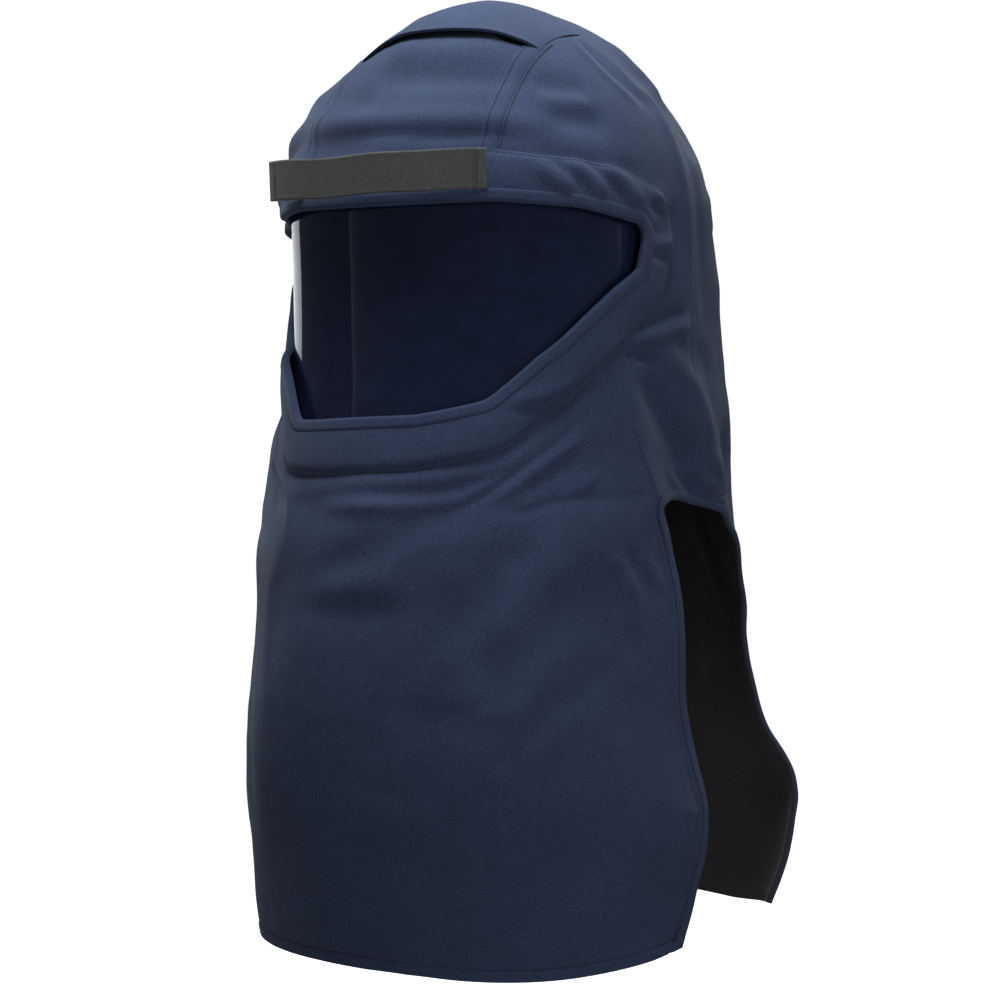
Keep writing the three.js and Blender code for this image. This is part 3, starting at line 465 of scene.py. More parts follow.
OPENING_UPPER = [[0.00, 0.000], [0.40, 0.000], [0.56, 0.021], [0.71, 0.041], [0.87, 0.088], [1.00, 0.135]]
OPENING_SIDE_LEFT = [[0.135, 1.000], [0.180, 1.008], [0.260, 0.994], [0.360, 0.968]]
OPENING_SIDE_RIGHT = [
    [0.135, 1.000], [0.180, 1.075], [0.240, 1.105], [0.290, 1.090], [0.330, 1.030], [0.360, 0.968],
]
OPENING_LOWER_LEFT = [
    [0.000, 1.000], [0.130, 0.995], [0.234, 0.974], [0.364, 0.941], [0.395, 0.915], [0.420, 0.888],
    [0.550, 0.745], [0.623, 0.680], [0.725, 0.572], [0.855, 0.445], [0.968, 0.360],
]
OPENING_LOWER_RIGHT = [
    [0.000, 1.000], [0.130, 1.008], [0.260, 1.015], [0.350, 1.012], [0.372, 0.990], [0.416, 0.920],
    [0.468, 0.850], [0.530, 0.790], [0.620, 0.725], [0.750, 0.655], [0.855, 0.590], [0.930, 0.490],
    [0.968, 0.360],
]

# Right round the opening: angle share, depth share, and the way from the edge to the band's outer edge
LOOP_TOP = [
    [0.00, 0.000, 0.0, -1.0], [0.20, 0.000, 0.0, -1.0], [0.40, 0.000, 0.05, -1.0], [0.56, 0.021, 0.1, -0.95],
    [0.71, 0.041, 0.15, -0.95], [0.87, 0.088, 0.4, -0.9], [0.985, 0.125, 0.75, -0.65],
]
LOOP_SIDE_LEFT = [[1.008, 0.180, 0.95, -0.1], [0.994, 0.260, 0.95, 0.2], [0.968, 0.360, 0.8, 0.55]]
LOOP_SIDE_RIGHT = [
    [1.075, 0.180, 0.95, -0.2], [1.105, 0.240, 0.95, 0.0], [1.090, 0.290, 0.95, 0.15],
    [1.030, 0.330, 0.9, 0.4], [0.968, 0.360, 0.8, 0.55],
]
LOOP_LOW_LEFT = [
    [0.855, 0.445, 0.55, 0.85], [0.725, 0.572, 0.5, 0.9], [0.623, 0.680, 0.5, 0.9], [0.550, 0.745, 0.5, 0.9],
    [0.420, 0.888, 0.42, 0.95], [0.395, 0.915, 0.38, 0.97], [0.364, 0.941, 0.28, 1.0],
    [0.234, 0.974, 0.06, 1.02], [0.130, 0.995, 0.03, 1.04], [0.000, 1.000, 0.0, 1.05],
]
LOOP_LOW_RIGHT = [
    [0.930, 0.490, 0.8, 0.6], [0.855, 0.590, 0.6, 0.8], [0.750, 0.655, 0.5, 0.87], [0.620, 0.725, 0.45, 0.9],
    [0.530, 0.790, 0.45, 0.9], [0.468, 0.850, 0.5, 0.88], [0.416, 0.920, 0.5, 0.9],
    [0.372, 0.990, 0.42, 0.95], [0.350, 1.012, 0.3, 1.0], [0.260, 1.015, 0.08, 1.04],
    [0.130, 1.008, 0.03, 1.06],
]
HEM = [[-74, 755], [-60, 757], [-37, 760], [4, 766], [21, 771], [37, 773], [50, 772], [65, 768], [74, 762]]
DRAPE_HEM = [[126, 768], [135, 772], [152, 778], [180, 777]]
HEM_CURVE_TOP = 640
LINING_INSET = 8.0
DRAPE_RADIUS, DRAPE_HALF_TURN = 185, 54
ARM_MIDDLE_ANGLE = 104.0
BIB_SIDE = [
    [0.00, 0.909], [0.035, 0.890], [0.075, 0.855], [0.13, 0.836], [0.245, 0.866], [0.295, 0.909],
    [0.355, 0.956], [0.41, 0.985], [0.49, 1.000], [0.58, 0.990], [0.65, 0.985], [0.73, 1.002],
    [0.80, 1.024], [0.865, 1.000], [0.91, 0.965], [0.96, 0.930], [1.00, 0.895],
]
SIDE_SEAM = [
    [0.00, 0.957], [0.04, 0.970], [0.12, 1.016], [0.20, 1.030], [0.38, 1.014], [0.60, 1.005],
    [0.80, 0.990], [1.00, 0.990],
]
DRAPE_SIDE = [
    [0.000, 0.742], [0.018, 0.790], [0.037, 0.840], [0.068, 0.902], [0.108, 0.956], [0.175, 0.986],
    [0.260, 1.000], [1.000, 1.000],
]


def opening_depth(share):
    return OPENING_TOP + OPENING_HEIGHT * share


CORNER_DEPTH = opening_depth(0.36)
BIB_CORNER_DEPTH = HOOD_HEIGHT - HEM_RISE
SEAM_TURN = 0.06 / math.radians(HALF_WIDTH)
BROW_SIDE_DEPTH = opening_depth(0.135)


def upper_edge(angle):
    return opening_depth(read_line(OPENING_UPPER, np.abs(angle) / OPENING_HALF_ANGLE))


def lower_edge(angle):
    share = np.abs(angle) / OPENING_HALF_ANGLE
    left = read_line(OPENING_LOWER_LEFT, share)
    return opening_depth(np.where(angle >= 0, left, read_line(OPENING_LOWER_RIGHT, share)))


def bib_edge(depth):
    return BIB_EDGE_ANGLE * read_table(BIB_SIDE, (depth - CORNER_DEPTH) / (BIB_CORNER_DEPTH - CORNER_DEPTH))


def side_seam(depth):
    return SIDE_SEAM_ANGLE * read_table(SIDE_SEAM, (depth - RIDGE_DEPTH) / (ARM_TOP - RIDGE_DEPTH))


def drape_edge(depth):
    return DRAPE_EDGE_ANGLE * read_line(DRAPE_SIDE, (depth - ARM_TOP) / (HOOD_HEIGHT - ARM_TOP))


def spaced(start, end, cell=CELL, near_start=(), near_end=()):
    """Even positions between two ends, with finer ones at given distances from either end."""
    count = max(int(abs(end - start) / cell), 2)
    even = np.linspace(start, end, count + 1)
    way = math.copysign(1, end - start)
    extra = [start + way * step for step in near_start] + [end - way * step for step in near_end]
    keep = [p for p in even if all(abs(p - q) > 0.35 * cell for q in extra)] + extra + [start, end]
    return np.array(sorted(set(np.round(keep, 5)), reverse=end < start))


# Finer cells along a hem, in millimetres from its edge
HEM_STEPS = (1.2, 2.6, 4.4, 6.2, 8.0, 9.4, 10.8, 12.4, 14.4)
HEM_WIDTH = 11.0
HEM_STITCH = 9.4

# A folded tape: its thickness, the faces of its section inside the cloth, and the angle of its sharp edges
TAPE = 1.1
TAPE_INSIDE = range(9, 18)
TAPE_SHARP = 60


def arc_uv(points):
    """Distances along the rows and down the middle column, so that the weave keeps its scale."""
    rows, columns = points.shape[:2]
    across = np.zeros((rows, columns))
    across[:, 1:] = np.cumsum(np.linalg.norm(np.diff(points, axis=1), axis=2), axis=1)
    across -= across[:, columns // 2][:, None]
    down = np.zeros(rows)
    middle = points[:, columns // 2]
    down[1:] = np.cumsum(np.linalg.norm(np.diff(middle, axis=0), axis=1))
    return np.stack([across, np.repeat(down[:, None], columns, axis=1)], axis=-1) * MM


def place_object(name, data):
    made = bpy.data.objects.new(name, data)
    bpy.context.scene.collection.objects.link(made)
    return made


def built_object(name, built, materials):
    mesh = bpy.data.meshes.new(name)
    built.to_mesh(mesh)
    built.free()
    for material in materials:
        mesh.materials.append(material)
    return place_object(name, mesh)


def listed_object(name, vertices, faces, material):
    mesh = bpy.data.meshes.new(name)
    mesh.from_pydata(vertices, [], faces)
    mesh.materials.append(material)
    return place_object(name, mesh)


def swept_object(name, rings, marks, materials, closed=False):
    """A skin over rings of points, with a place in the weave for each point."""
    built = bmesh.new()
    layer = built.loops.layers.uv.new("weave")
    corners = [[built.verts.new(Vector(point) * MM) for point in ring] for ring in rings]
    count, size = len(rings), len(rings[0])
    for index in range(count if closed else count - 1):
        following = (index + 1) % count
        for order in range(size):
            after = (order + 1) % size
            ends = [(index, order), (following, order), (following, after), (index, after)]
            face = built.faces.new([corners[a][b] for a, b in ends])
            face.material_index = len(materials) - 1 if order in TAPE_INSIDE else 0
            for loop, (a, b) in zip(face.loops, ends):
                loop[layer].uv = marks[a][b]
    if not closed:
        built.faces.new(corners[0][::-1])
        built.faces.new(corners[-1])
    bmesh.ops.recalc_face_normals(built, faces=built.faces)
    piece = built_object(name, built, materials)
    finish_mesh(piece, TAPE_SHARP)
    return piece


def sheet_object(name, patches, wall, materials, weld=0.06, round_edge=0.7, outward=None):
    """A closed sheet of cloth from grids of points of its outer face, walled inward with rounded edges."""
    built = bmesh.new()
    layer = built.loops.layers.uv.new("weave")
    for points in patches:
        uv = arc_uv(points)
        rows, columns = points.shape[:2]
        corners = [[built.verts.new(Vector(points[r, c]) * MM) for c in range(columns)] for r in range(rows)]
        middle = points[rows // 2, columns // 2]
        side_a = points[rows // 2 + 1, columns // 2] - middle
        side_b = points[rows // 2, columns // 2 + 1] - middle
        facing = outward if outward is not None else middle - np.array([0, 0, min(middle[2], -150)])
        flip = np.cross(side_a, side_b) @ facing > 0
        for r in range(rows - 1):
            for c in range(columns - 1):
                ring = [(r, c), (r, c + 1), (r + 1, c + 1), (r + 1, c)]
                if flip:
                    ring.reverse()
                face = built.faces.new([corners[a][b] for a, b in ring])
                for loop, (a, b) in zip(face.loops, ring):
                    loop[layer].uv = uv[a, b]
    bmesh.ops.remove_doubles(built, verts=built.verts, dist=weld * MM)
    bmesh.ops.dissolve_degenerate(built, edges=built.edges, dist=0.02 * MM)
    piece = built_object(name, built, materials)
    solid = piece.modifiers.new("wall", "SOLIDIFY")
    solid.thickness = wall * MM
    solid.offset = -1
    solid.use_even_offset = False
    solid.material_offset = len(materials) - 1
    solid.material_offset_rim = 0
    apply_modifiers(piece)
    if round_edge:
        soften_rim(piece, round_edge)
    finish_mesh(piece)
    return piece


def apply_modifiers(piece):
    graph = bpy.context.evaluated_depsgraph_get()
    made = bpy.data.meshes.new_from_object(piece.evaluated_get(graph))
    old = piece.data
    piece.modifiers.clear()
    piece.data = made
    made.name = piece.name
    bpy.data.meshes.remove(old)


def soften_rim(piece, radius):
    built = bmesh.new()
    built.from_mesh(piece.data)
    built.normal_update()
    rims = [edge for edge in built.edges if len(edge.link_faces) == 2 and edge.calc_face_angle(0) > 1.05]
    bmesh.ops.bevel(built, geom=rims, offset=radius * MM, segments=2, profile=0.5, affect="EDGES",
                    clamp_overlap=True)
    built.to_mesh(piece.data)
    built.free()


def finish_mesh(piece, sharp=48):
    mesh = piece.data
    mesh.polygons.foreach_set("use_smooth", [True] * len(mesh.polygons))
    mesh.set_sharp_from_angle(angle=math.radians(sharp))
    mesh.update()


# Materials


def new_material(name):
    made = bpy.data.materials.new(name)
    made.use_nodes = True
    return made, made.node_tree, made.node_tree.nodes["Principled BSDF"]


def add_node(tree, kind, inputs=None, **settings):
    """A node with its settings. Each input takes a constant or another node's output."""
    made = tree.nodes.new(kind)
    for key, value in settings.items():
        setattr(made, key, value)
    for key, value in (inputs or {}).items():
        if isinstance(value, bpy.types.NodeSocket):
            tree.links.new(value, made.inputs[key])
        else:
            made.inputs[key].default_value = value
    return made


def mixed_colour(tree, factor, low, high):
    ramp = add_node(tree, "ShaderNodeMix", {"Factor": factor}, data_type="RGBA")
    ramp.inputs["A"].default_value = (*low, 1)
    ramp.inputs["B"].default_value = (*high, 1)
    return ramp.outputs["Result"]


def noise(tree, place, scale, detail, roughness):
    texture = add_node(tree, "ShaderNodeTexNoise", {"Scale": scale, "Detail": detail, "Roughness": roughness})
    tree.links.new(place, texture.inputs["Vector"])
    return texture.outputs["Fac"]


def ranged(tree, value, low, high, to_low, to_high):
    ends = {"Value": value, "From Min": low, "From Max": high, "To Min": to_low, "To Max": to_high}
    return add_node(tree, "ShaderNodeMapRange", ends).outputs["Result"]


def maths(tree, operation, first, second):
    return add_node(tree, "ShaderNodeMath", {0: first, 1: second}, operation=operation).outputs[0]


def scaled(tree, colour, factor):
    made = add_node(tree, "ShaderNodeVectorMath", {0: colour, "Scale": factor}, operation="SCALE")
    return made.outputs["Vector"]


TWILL_TURN = math.radians(58)
THREAD_BUMP, SLUB_BUMP = 0.00022, 0.0006


def woven_material(name, dark, light, thread=0.9, bump=0.35, rough=0.85, sheen=0.35, sheen_tint=(1, 1, 1),
                   twill=True, blotch=0.5):
    """Woven cloth: diagonal twill or plain ribs, uneven dye, lint specks, painted shade between the threads
    and a soft sheen.
    """
    made, tree, shader = new_material(name)
    uv = add_node(tree, "ShaderNodeUVMap", uv_map="weave").outputs["UV"]
    space = add_node(tree, "ShaderNodeTexCoord").outputs["Object"]
    slant = (0, 0, TWILL_TURN if twill else 0)
    turned = add_node(tree, "ShaderNodeMapping", {"Vector": uv, "Rotation": slant})
    ribs = add_node(tree, "ShaderNodeTexWave", {
        "Vector": turned.outputs["Vector"], "Scale": 0.5 / (thread * MM), "Distortion": 0.6, "Detail": 1.0,
        "Detail Scale": 1.0}, bands_direction="X")
    threads = add_node(tree, "ShaderNodeTexWave", {
        "Vector": uv, "Scale": 0.5 / (thread * 0.62 * MM), "Distortion": 0.4}, bands_direction="Y")
    lint = noise(tree, space, 800.0, 3.0, 0.7)
    cloud = noise(tree, space, 9.0, 4.0, 0.55)
    slub = noise(tree, space, 420.0, 3.0, 0.75)
    height = maths(tree, "ADD", maths(tree, "MULTIPLY", threads.outputs["Fac"], 0.55), ribs.outputs["Fac"])
    total = maths(tree, "ADD", height, maths(tree, "MULTIPLY", lint, 0.9))
    fine = add_node(tree, "ShaderNodeBump", {"Strength": bump, "Distance": THREAD_BUMP, "Height": total})
    wrinkle = add_node(tree, "ShaderNodeBump", {
        "Strength": 0.4, "Distance": SLUB_BUMP, "Height": slub, "Normal": fine.outputs["Normal"]})
    tree.links.new(wrinkle.outputs["Normal"], shader.inputs["Normal"])
    grain = mixed_colour(tree, ranged(tree, lint, 0.29, 0.71, 0, 1), dark, light)
    dyed = scaled(tree, grain, ranged(tree, cloud, 0.3, 0.7, 1 - 0.22 * blotch, 1 + 0.18 * blotch))
    # Painted shade and light: the colour is darkened in the weave's hollows and lightened on the thread tops.
    painted_thread_shade = scaled(tree, dyed, ranged(tree, height, 0, 1.5, 0.86, 1.1))
    tree.links.new(painted_thread_shade, shader.inputs["Base Color"])
    dull = ranged(tree, slub, 0, 1, rough - 0.08, min(rough + 0.1, 1))
    tree.links.new(dull, shader.inputs["Roughness"])
    shader.inputs["Specular IOR Level"].default_value = 0.14
    shader.inputs["Sheen Weight"].default_value = sheen
    shader.inputs["Sheen Roughness"].default_value = 0.45
    shader.inputs["Sheen Tint"].default_value = (*sheen_tint, 1)
    return made


def visor_material():
    """Tinted clear plastic: light passes with a blue tint, gloss grows at a glancing angle, faint haze."""
    made, tree, shader = new_material("visor_tint")
    tree.nodes.remove(shader)
    clear = add_node(tree, "ShaderNodeBsdfTransparent", {"Color": (0.60, 0.65, 0.60, 1)})
    gloss = add_node(tree, "ShaderNodeBsdfGlossy", {"Roughness": 0.03, "Color": (0.9, 0.93, 1, 1)})
    haze = add_node(tree, "ShaderNodeBsdfDiffuse", {"Color": (0.024, 0.038, 0.110, 1)})
    fresnel = add_node(tree, "ShaderNodeFresnel", {"IOR": 1.45})
    smear = add_node(tree, "ShaderNodeTexNoise", {"Scale": 14.0, "Detail": 3.0})
    film = ranged(tree, smear.outputs["Fac"], 0.35, 0.7, 0.22, 0.32)
    veil = add_node(tree, "ShaderNodeMixShader", {
        "Fac": film, 1: clear.outputs["BSDF"], 2: haze.outputs["BSDF"]})
    shine = add_node(tree, "ShaderNodeMixShader", {
        "Fac": fresnel.outputs["Fac"], 1: veil.outputs["Shader"], 2: gloss.outputs["BSDF"]})
    tree.links.new(shine.outputs["Shader"], tree.nodes["Material Output"].inputs["Surface"])
    return made


NAVY = woven_material("navy_cloth", (0.0150, 0.0225, 0.046), (0.040, 0.0555, 0.107), sheen=0.12,
                      sheen_tint=(0.75, 0.85, 1.0))
BLACK = woven_material("black_lining", (0.021, 0.0200, 0.0230), (0.046, 0.0445, 0.050), thread=0.7, bump=0.25,
                       sheen=0.10, rough=0.82)
WEBBING = woven_material("webbing", (0.036, 0.037, 0.039), (0.092, 0.093, 0.096), thread=1.7, bump=0.9,
                         rough=0.62, sheen=0.15, twill=False, blotch=0.3)
NET = woven_material("vent_net", (0.003, 0.003, 0.003), (0.010, 0.010, 0.011), thread=2.2, bump=1.0,
                     sheen=0.05, rough=0.7, twill=False)
# The stitch thread is about a quarter as bright as the cloth: partly its own dark colour, partly painted
# shade of the stitch holes.
THREAD = woven_material("thread", (0.004, 0.006, 0.010), (0.013, 0.017, 0.028), thread=0.3, bump=0.5,
                        sheen=0.05)
DARK_THREAD = woven_material("dark_thread", (0.004, 0.004, 0.004), (0.014, 0.014, 0.014), thread=0.3,
                             bump=0.5)
VISOR = visor_material()


# Cloth panels

STRIP_EDGE = STRIP_HALF_WIDTH - SEAM_GAP / 2
STRIP_OFFSETS = spaced(-STRIP_EDGE, STRIP_EDGE, CELL, (1.5, 3), (1.5, 3))


def lip_share(offset):
    return 1 - (offset / STRIP_HALF_WIDTH) ** 2


def lip_height(offset):
    """The vent's lip stands highest left of the middle."""
    return LIP_RAISE * np.sqrt(np.maximum(lip_share(offset), 0)) * (0.74 + 0.38 * offset / STRIP_HALF_WIDTH)


def crown_front():
    """The strip from the brow to the vent, its end tucked under the lip."""
    open_share = lip_share(STRIP_OFFSETS)
    tuck = SEAM_GAP + LIP_OVERHANG * open_share * smoothstep((0.75 - open_share) / 0.3)
    depths = spaced(OPENING_TOP, VENT_DEPTH)
    start = seam_run(np.array(OPENING_TOP))
    shares = (seam_run(depths) - start) / (VENT_RUN - start)
    top = VENT_RUN + tuck * RUN_PER_MM
    runs = start + (top[None, :] - start) * shares[:, None]
    angle, depth = strip_place(STRIP_OFFSETS[None, :], runs)
    return [cloth(angle, depth)]


def wrap(angle):
    """The same angle between -180 and 180 degrees."""
    return np.where(angle > 180, angle - 360, angle)


BACK_COLUMNS = 111


def crown_back():
    """The strip behind the vent with its raised lip, the crown's back, and the neck down to the arms."""
    patches = []
    rows = []
    for share in np.linspace(1, 0, 7):
        ahead = LIP_OVERHANG * lip_share(STRIP_OFFSETS) * share
        lift = lip_height(STRIP_OFFSETS) * (0.75 + 0.25 * share)
        angle, depth = strip_place(STRIP_OFFSETS, VENT_RUN + ahead * RUN_PER_MM)
        rows.append(cloth(angle, depth, lift))
    for share in np.linspace(0, 1, 20)[1:]:
        lift = lip_height(STRIP_OFFSETS) * 0.75 * np.clip(1 - share / 0.9, 0, 1) ** 2
        angle, depth = strip_place(STRIP_OFFSETS, VENT_RUN * (1 - share))
        rows.append(cloth(angle, depth, lift))
    patches.append(np.array(rows))
    half = STRIP_OFFSETS[STRIP_OFFSETS >= -1e-6]
    ridge = depth_of_close(half / (HALF_WIDTH * RINGS[0][1]))
    turns = np.linspace(90, 270, BACK_COLUMNS)
    patches.append(cloth(wrap(turns)[None, :], ridge[:, None]))
    depths = spaced(float(ridge[-1]), ARM_TOP - SEAM_GAP / 2)
    seam = side_seam(depths) + SEAM_TURN
    seam[0] = 90
    shares = np.linspace(0, 1, BACK_COLUMNS)
    patches.append(cloth(wrap(seam[:, None] + (360 - 2 * seam[:, None]) * shares[None, :]), depths[:, None]))
    return patches


# Columns of a side panel over the opening and behind it, and the share of its width over the opening
BROW_COLUMNS, CHEEK_COLUMNS, BROW_SHARE = 46, 13, 0.72


def side_panel(side):
    """A side of the hood in two parts: over the opening up to the ridge, and behind it down to the arm."""
    seam_offset = STRIP_HALF_WIDTH + SEAM_GAP / 2
    brow_end = float(side_seam(np.array(BROW_SIDE_DEPTH))) - SEAM_TURN
    start = float(angle_across(seam_offset, OPENING_TOP))
    front_part = np.linspace(start, OPENING_HALF_ANGLE, BROW_COLUMNS)
    back_part = np.linspace(OPENING_HALF_ANGLE, brow_end, CHEEK_COLUMNS)[1:]
    low_angle = np.concatenate([front_part, back_part])
    low_depth = np.concatenate([upper_edge(front_part), np.full(len(back_part), BROW_SIDE_DEPTH)])
    front_share = np.linspace(0, BROW_SHARE, BROW_COLUMNS)
    shares = np.concatenate([front_share, np.linspace(BROW_SHARE, 1, CHEEK_COLUMNS)[1:]])
    angles, places = [low_angle], [low_depth]
    depths = spaced(OPENING_TOP, RIDGE_DEPTH + SEAM_GAP)[1:]
    for depth in depths:
        begin, end = 90.0, 90.0
        if depth > RIDGE_DEPTH + 1:
            begin = float(angle_across(seam_offset, depth))
            end = float(side_seam(np.array(depth))) - SEAM_TURN
        settle = smoothstep(abs(depth - OPENING_TOP) / 24)
        plain_angle = mix(begin, end, shares)
        drop = low_depth - OPENING_TOP
        angles.append(mix(mix(low_angle, plain_angle, 0.5 * settle + 0.5 * settle**2), plain_angle, settle))
        places.append(depth + drop * (1 - settle) * 0.9)
    brow = cloth(side * np.array(angles), np.array(places))
    depths = np.concatenate([
        spaced(BROW_SIDE_DEPTH, CORNER_DEPTH), spaced(CORNER_DEPTH, ARM_TOP, CELL, (), (1.2, 2.6, 4.4))[1:]])
    rows_angle, rows_depth = [], []
    for depth in depths:
        if depth <= CORNER_DEPTH:
            edge = OPENING_SIDE_LEFT if side > 0 else OPENING_SIDE_RIGHT
            begin = OPENING_HALF_ANGLE * float(read_line(edge, (depth - OPENING_TOP) / OPENING_HEIGHT))
        else:
            begin = float(bib_edge(np.array(depth))) + SEAM_TURN
        end = float(side_seam(np.array(depth))) - SEAM_TURN
        share = np.linspace(0, 1, CHEEK_COLUMNS)
        near = smoothstep((depth - ARM_TOP + 30) / 30)
        rows_angle.append(mix(begin, end, share))
        rows_depth.append(depth - ARM_RISE * near * np.sin(math.pi * share))
    cheek = cloth(side * np.array(rows_angle), np.array(rows_depth))
    return [brow, cheek]


BIB_SPLIT = 7 / 17
BIB_FALL, BIB_HALF_WIDTH = 353, 270


def bib_place(across, down):
    """Angle and depth of a place on the bib: across from -1 to 1, down from the opening to the hem."""
    edge_depth = np.where(
        down < BIB_SPLIT,
        mix(CORNER_DEPTH, ARM_TOP, down / BIB_SPLIT),
        mix(ARM_TOP, BIB_CORNER_DEPTH, (down - BIB_SPLIT) / (1 - BIB_SPLIT)),
    )
    share = (edge_depth - CORNER_DEPTH) / (BIB_CORNER_DEPTH - CORNER_DEPTH)
    edge = bib_edge(edge_depth) - SEAM_TURN
    corner_angle = float(bib_edge(np.array(CORNER_DEPTH))) - SEAM_TURN
    hem_angle = float(bib_edge(np.array(BIB_CORNER_DEPTH))) - SEAM_TURN
    top_angle = across * corner_angle
    top = lower_edge(top_angle)
    angle = mix(top_angle, across * hem_angle, share) + across * (edge - mix(corner_angle, hem_angle, share))
    hem = read_table(HEM, across * hem_angle)
    depth = mix(top, hem, share) + np.abs(across) * (edge_depth - mix(CORNER_DEPTH, BIB_CORNER_DEPTH, share))
    return angle, depth


def front_bib():
    low = 1 - spaced(0, BIB_FALL, CELL, HEM_STEPS) / BIB_FALL * (1 - BIB_SPLIT)
    high = np.linspace(0, BIB_SPLIT, 58)
    down = np.concatenate([high, low[::-1][1:]])
    half = spaced(0, BIB_HALF_WIDTH, CELL, (), HEM_STEPS) / BIB_HALF_WIDTH
    across = np.concatenate([-half[::-1][:-1], half])
    angle, depth = bib_place(across[None, :], down[:, None])
    below_arch = smoothstep((down - BIB_SPLIT) / 0.05)[:, None]
    side_lift = hem_lift((1 - np.abs(across)) * BIB_HALF_WIDTH - 2.5)[None, :] * below_arch
    points = cloth(angle, depth, hem_lift(read_table(HEM, angle) - depth) + 1.2 * side_lift)
    return [points]


def hem_lift(inset):
    """Thicker cloth along a turned hem, with the groove of its stitch line."""
    step = 0.7 * smoothstep((HEM_WIDTH + 1.5 - inset) / 3.0)
    groove = 1.5 * np.exp(-(((inset - HEM_STITCH) / 1.3) ** 2))
    return step - groove


def hem_settle(depth):
    """Share of the drape's hem curve that its rows have taken on at a depth."""
    return smoothstep((depth - HEM_CURVE_TOP) / (HOOD_HEIGHT - HEM_CURVE_TOP))


def drape(inset=0.0, lift=0.0):
    depths = spaced(ARM_TOP - SEAM_GAP / 2 + 0.05, HOOD_HEIGHT - inset, CELL, (), HEM_STEPS)
    if not inset:
        fine = ARM_TOP + (HOOD_HEIGHT - ARM_TOP) * np.array([0.018, 0.037, 0.068])
        depths = np.array(sorted(set(np.round(np.concatenate([depths, fine]), 4))))
    edge = drape_edge(depths) + inset / math.radians(HALF_WIDTH)
    half = DRAPE_RADIUS * math.radians(DRAPE_HALF_TURN)
    steps = spaced(0, 2 * half, CELL, HEM_STEPS, HEM_STEPS) / (2 * half)
    angle = wrap(edge[:, None] + (360 - 2 * edge[:, None]) * steps[None, :])
    shift = hem_lift(HOOD_HEIGHT - depths)[:, None] if not inset else 0.0
    longer = read_table(DRAPE_HEM, np.abs(angle)) - HOOD_HEIGHT
    low = depths[:, None] + longer * hem_settle(depths[:, None])
    return [cloth(angle, low, lift + shift)]


MM_PER_DEGREE = 3.0


def opening_loop(step=2.2):
    """Places round the visor opening: angle, depth and the direction away from it."""
    mirrored = np.array([-1, 1, -1, 1])
    right = np.array(LOOP_TOP[1:] + LOOP_SIDE_RIGHT + LOOP_LOW_RIGHT)[::-1] * mirrored
    ring = np.vstack([np.array(LOOP_TOP + LOOP_SIDE_LEFT + LOOP_LOW_LEFT), right])
    out = []
    for index, corner in enumerate(ring):
        following = ring[(index + 1) % len(ring)]
        turn, fall = following[:2] - corner[:2]
        size = math.hypot(turn * OPENING_HALF_ANGLE * MM_PER_DEGREE, fall * OPENING_HEIGHT)
        parts = max(int(size / step), 1)
        out.extend(mix(corner, following, part / parts) for part in range(parts))
    out = np.array(out)
    kernel = np.array([1, 2, 3, 2, 1]) / 9
    closed = np.vstack([out[-2:], out, out[:2]])
    return np.stack([np.convolve(closed[:, column], kernel, "valid") for column in range(4)], axis=1)


LOOP = opening_loop()
BAND_LIFT = 0.6
BAND_STITCH = 0.93


def band_angle_depth(share):
    """Places round the band at a share of its width, 0 at the opening's edge."""
    angle, depth, away, down = LOOP.T
    turn = away * FACING_WIDTH * share / math.radians(HALF_WIDTH * 0.85)
    return angle * OPENING_HALF_ANGLE + turn, opening_depth(depth) + down * FACING_WIDTH * share


def face_band():
    """The band sewn round the visor opening, its outer edge drawn down by its stitch line."""
    rows = []
    for share in [0, 0.05, 0.12, 0.2, 0.3, 0.4, 0.5, 0.6, 0.7, 0.78, 0.84, 0.89, 0.93, 0.96, 0.985, 1.0]:
        angle, depth = band_angle_depth(share)
        dip = 1.1 * math.exp(-(((share - BAND_STITCH) * FACING_WIDTH / 1.6) ** 2))
        lift = BAND_LIFT + FACING_WALL - dip
        lift += 0.9 * math.sin(math.pi * share) - 1.5 * max(share - 0.95, 0) / 0.05
        row = cloth(angle, depth, lift)
        rows.append(np.vstack([row, row[:1]]))
    return [np.array(rows)]


def tape_section(outer, inner, thickness):
    """Section of a folded tape, along the cloth and above its face: a leg on each face and a rounded nose."""
    radius = thickness / 2 + TAPE
    under = -thickness - TAPE
    inside = -thickness - 0.15
    section = [(-outer, 0.15), (-outer - 0.1, 0.55), (-outer + 0.35, TAPE * 0.92),
               (-outer * 0.66, TAPE * 1.02), (-outer * 0.33, TAPE * 1.08), (0.0, TAPE)]
    for turn in np.radians(np.linspace(75, -75, 7)):
        section.append((radius * math.cos(turn) * 0.9, radius * math.sin(turn) - thickness / 2))
    section += [(0.0, under), (-inner * 0.5, under), (-inner, under + TAPE * 0.1), (-inner, inside),
                (-inner * 0.5, inside), (-0.2, -thickness - 0.1), (-0.2, 0.1), (-outer * 0.5, 0.12)]
    return np.array(section)


def edging_object(name, points, normals, sides, leg_out, leg_in, thickness, materials, closed=False):
    """A tape folded round a cloth's edge."""
    count = len(points)
    leg_out, leg_in = np.broadcast_to(leg_out, count), np.broadcast_to(leg_in, count)
    walked = walked_along(points)
    rings, marks = [], []
    for index in range(count):
        section = tape_section(leg_out[index], leg_in[index], thickness)
        rings.append(points[index] + sides[index] * section[:, :1] + normals[index] * section[:, 1:])
        marks.append([(walked[index] * MM, run * MM) for run in walked_along(section)])
    return swept_object(name, rings, marks, materials, closed)


def edge_sides(points, normals, towards, closed):
    """At each point of an edge, the direction in the cloth that leads to a given place."""
    before = np.roll(points, 1, axis=0)
    after = np.roll(points, -1, axis=0)
    if not closed:
        before[0], after[-1] = points[0], points[-1]
    sides = unit(np.cross(normals, unit(after - before)))
    sign = np.sign(np.sum(sides * (towards - points), axis=1))
    return sides * sign[:, None]


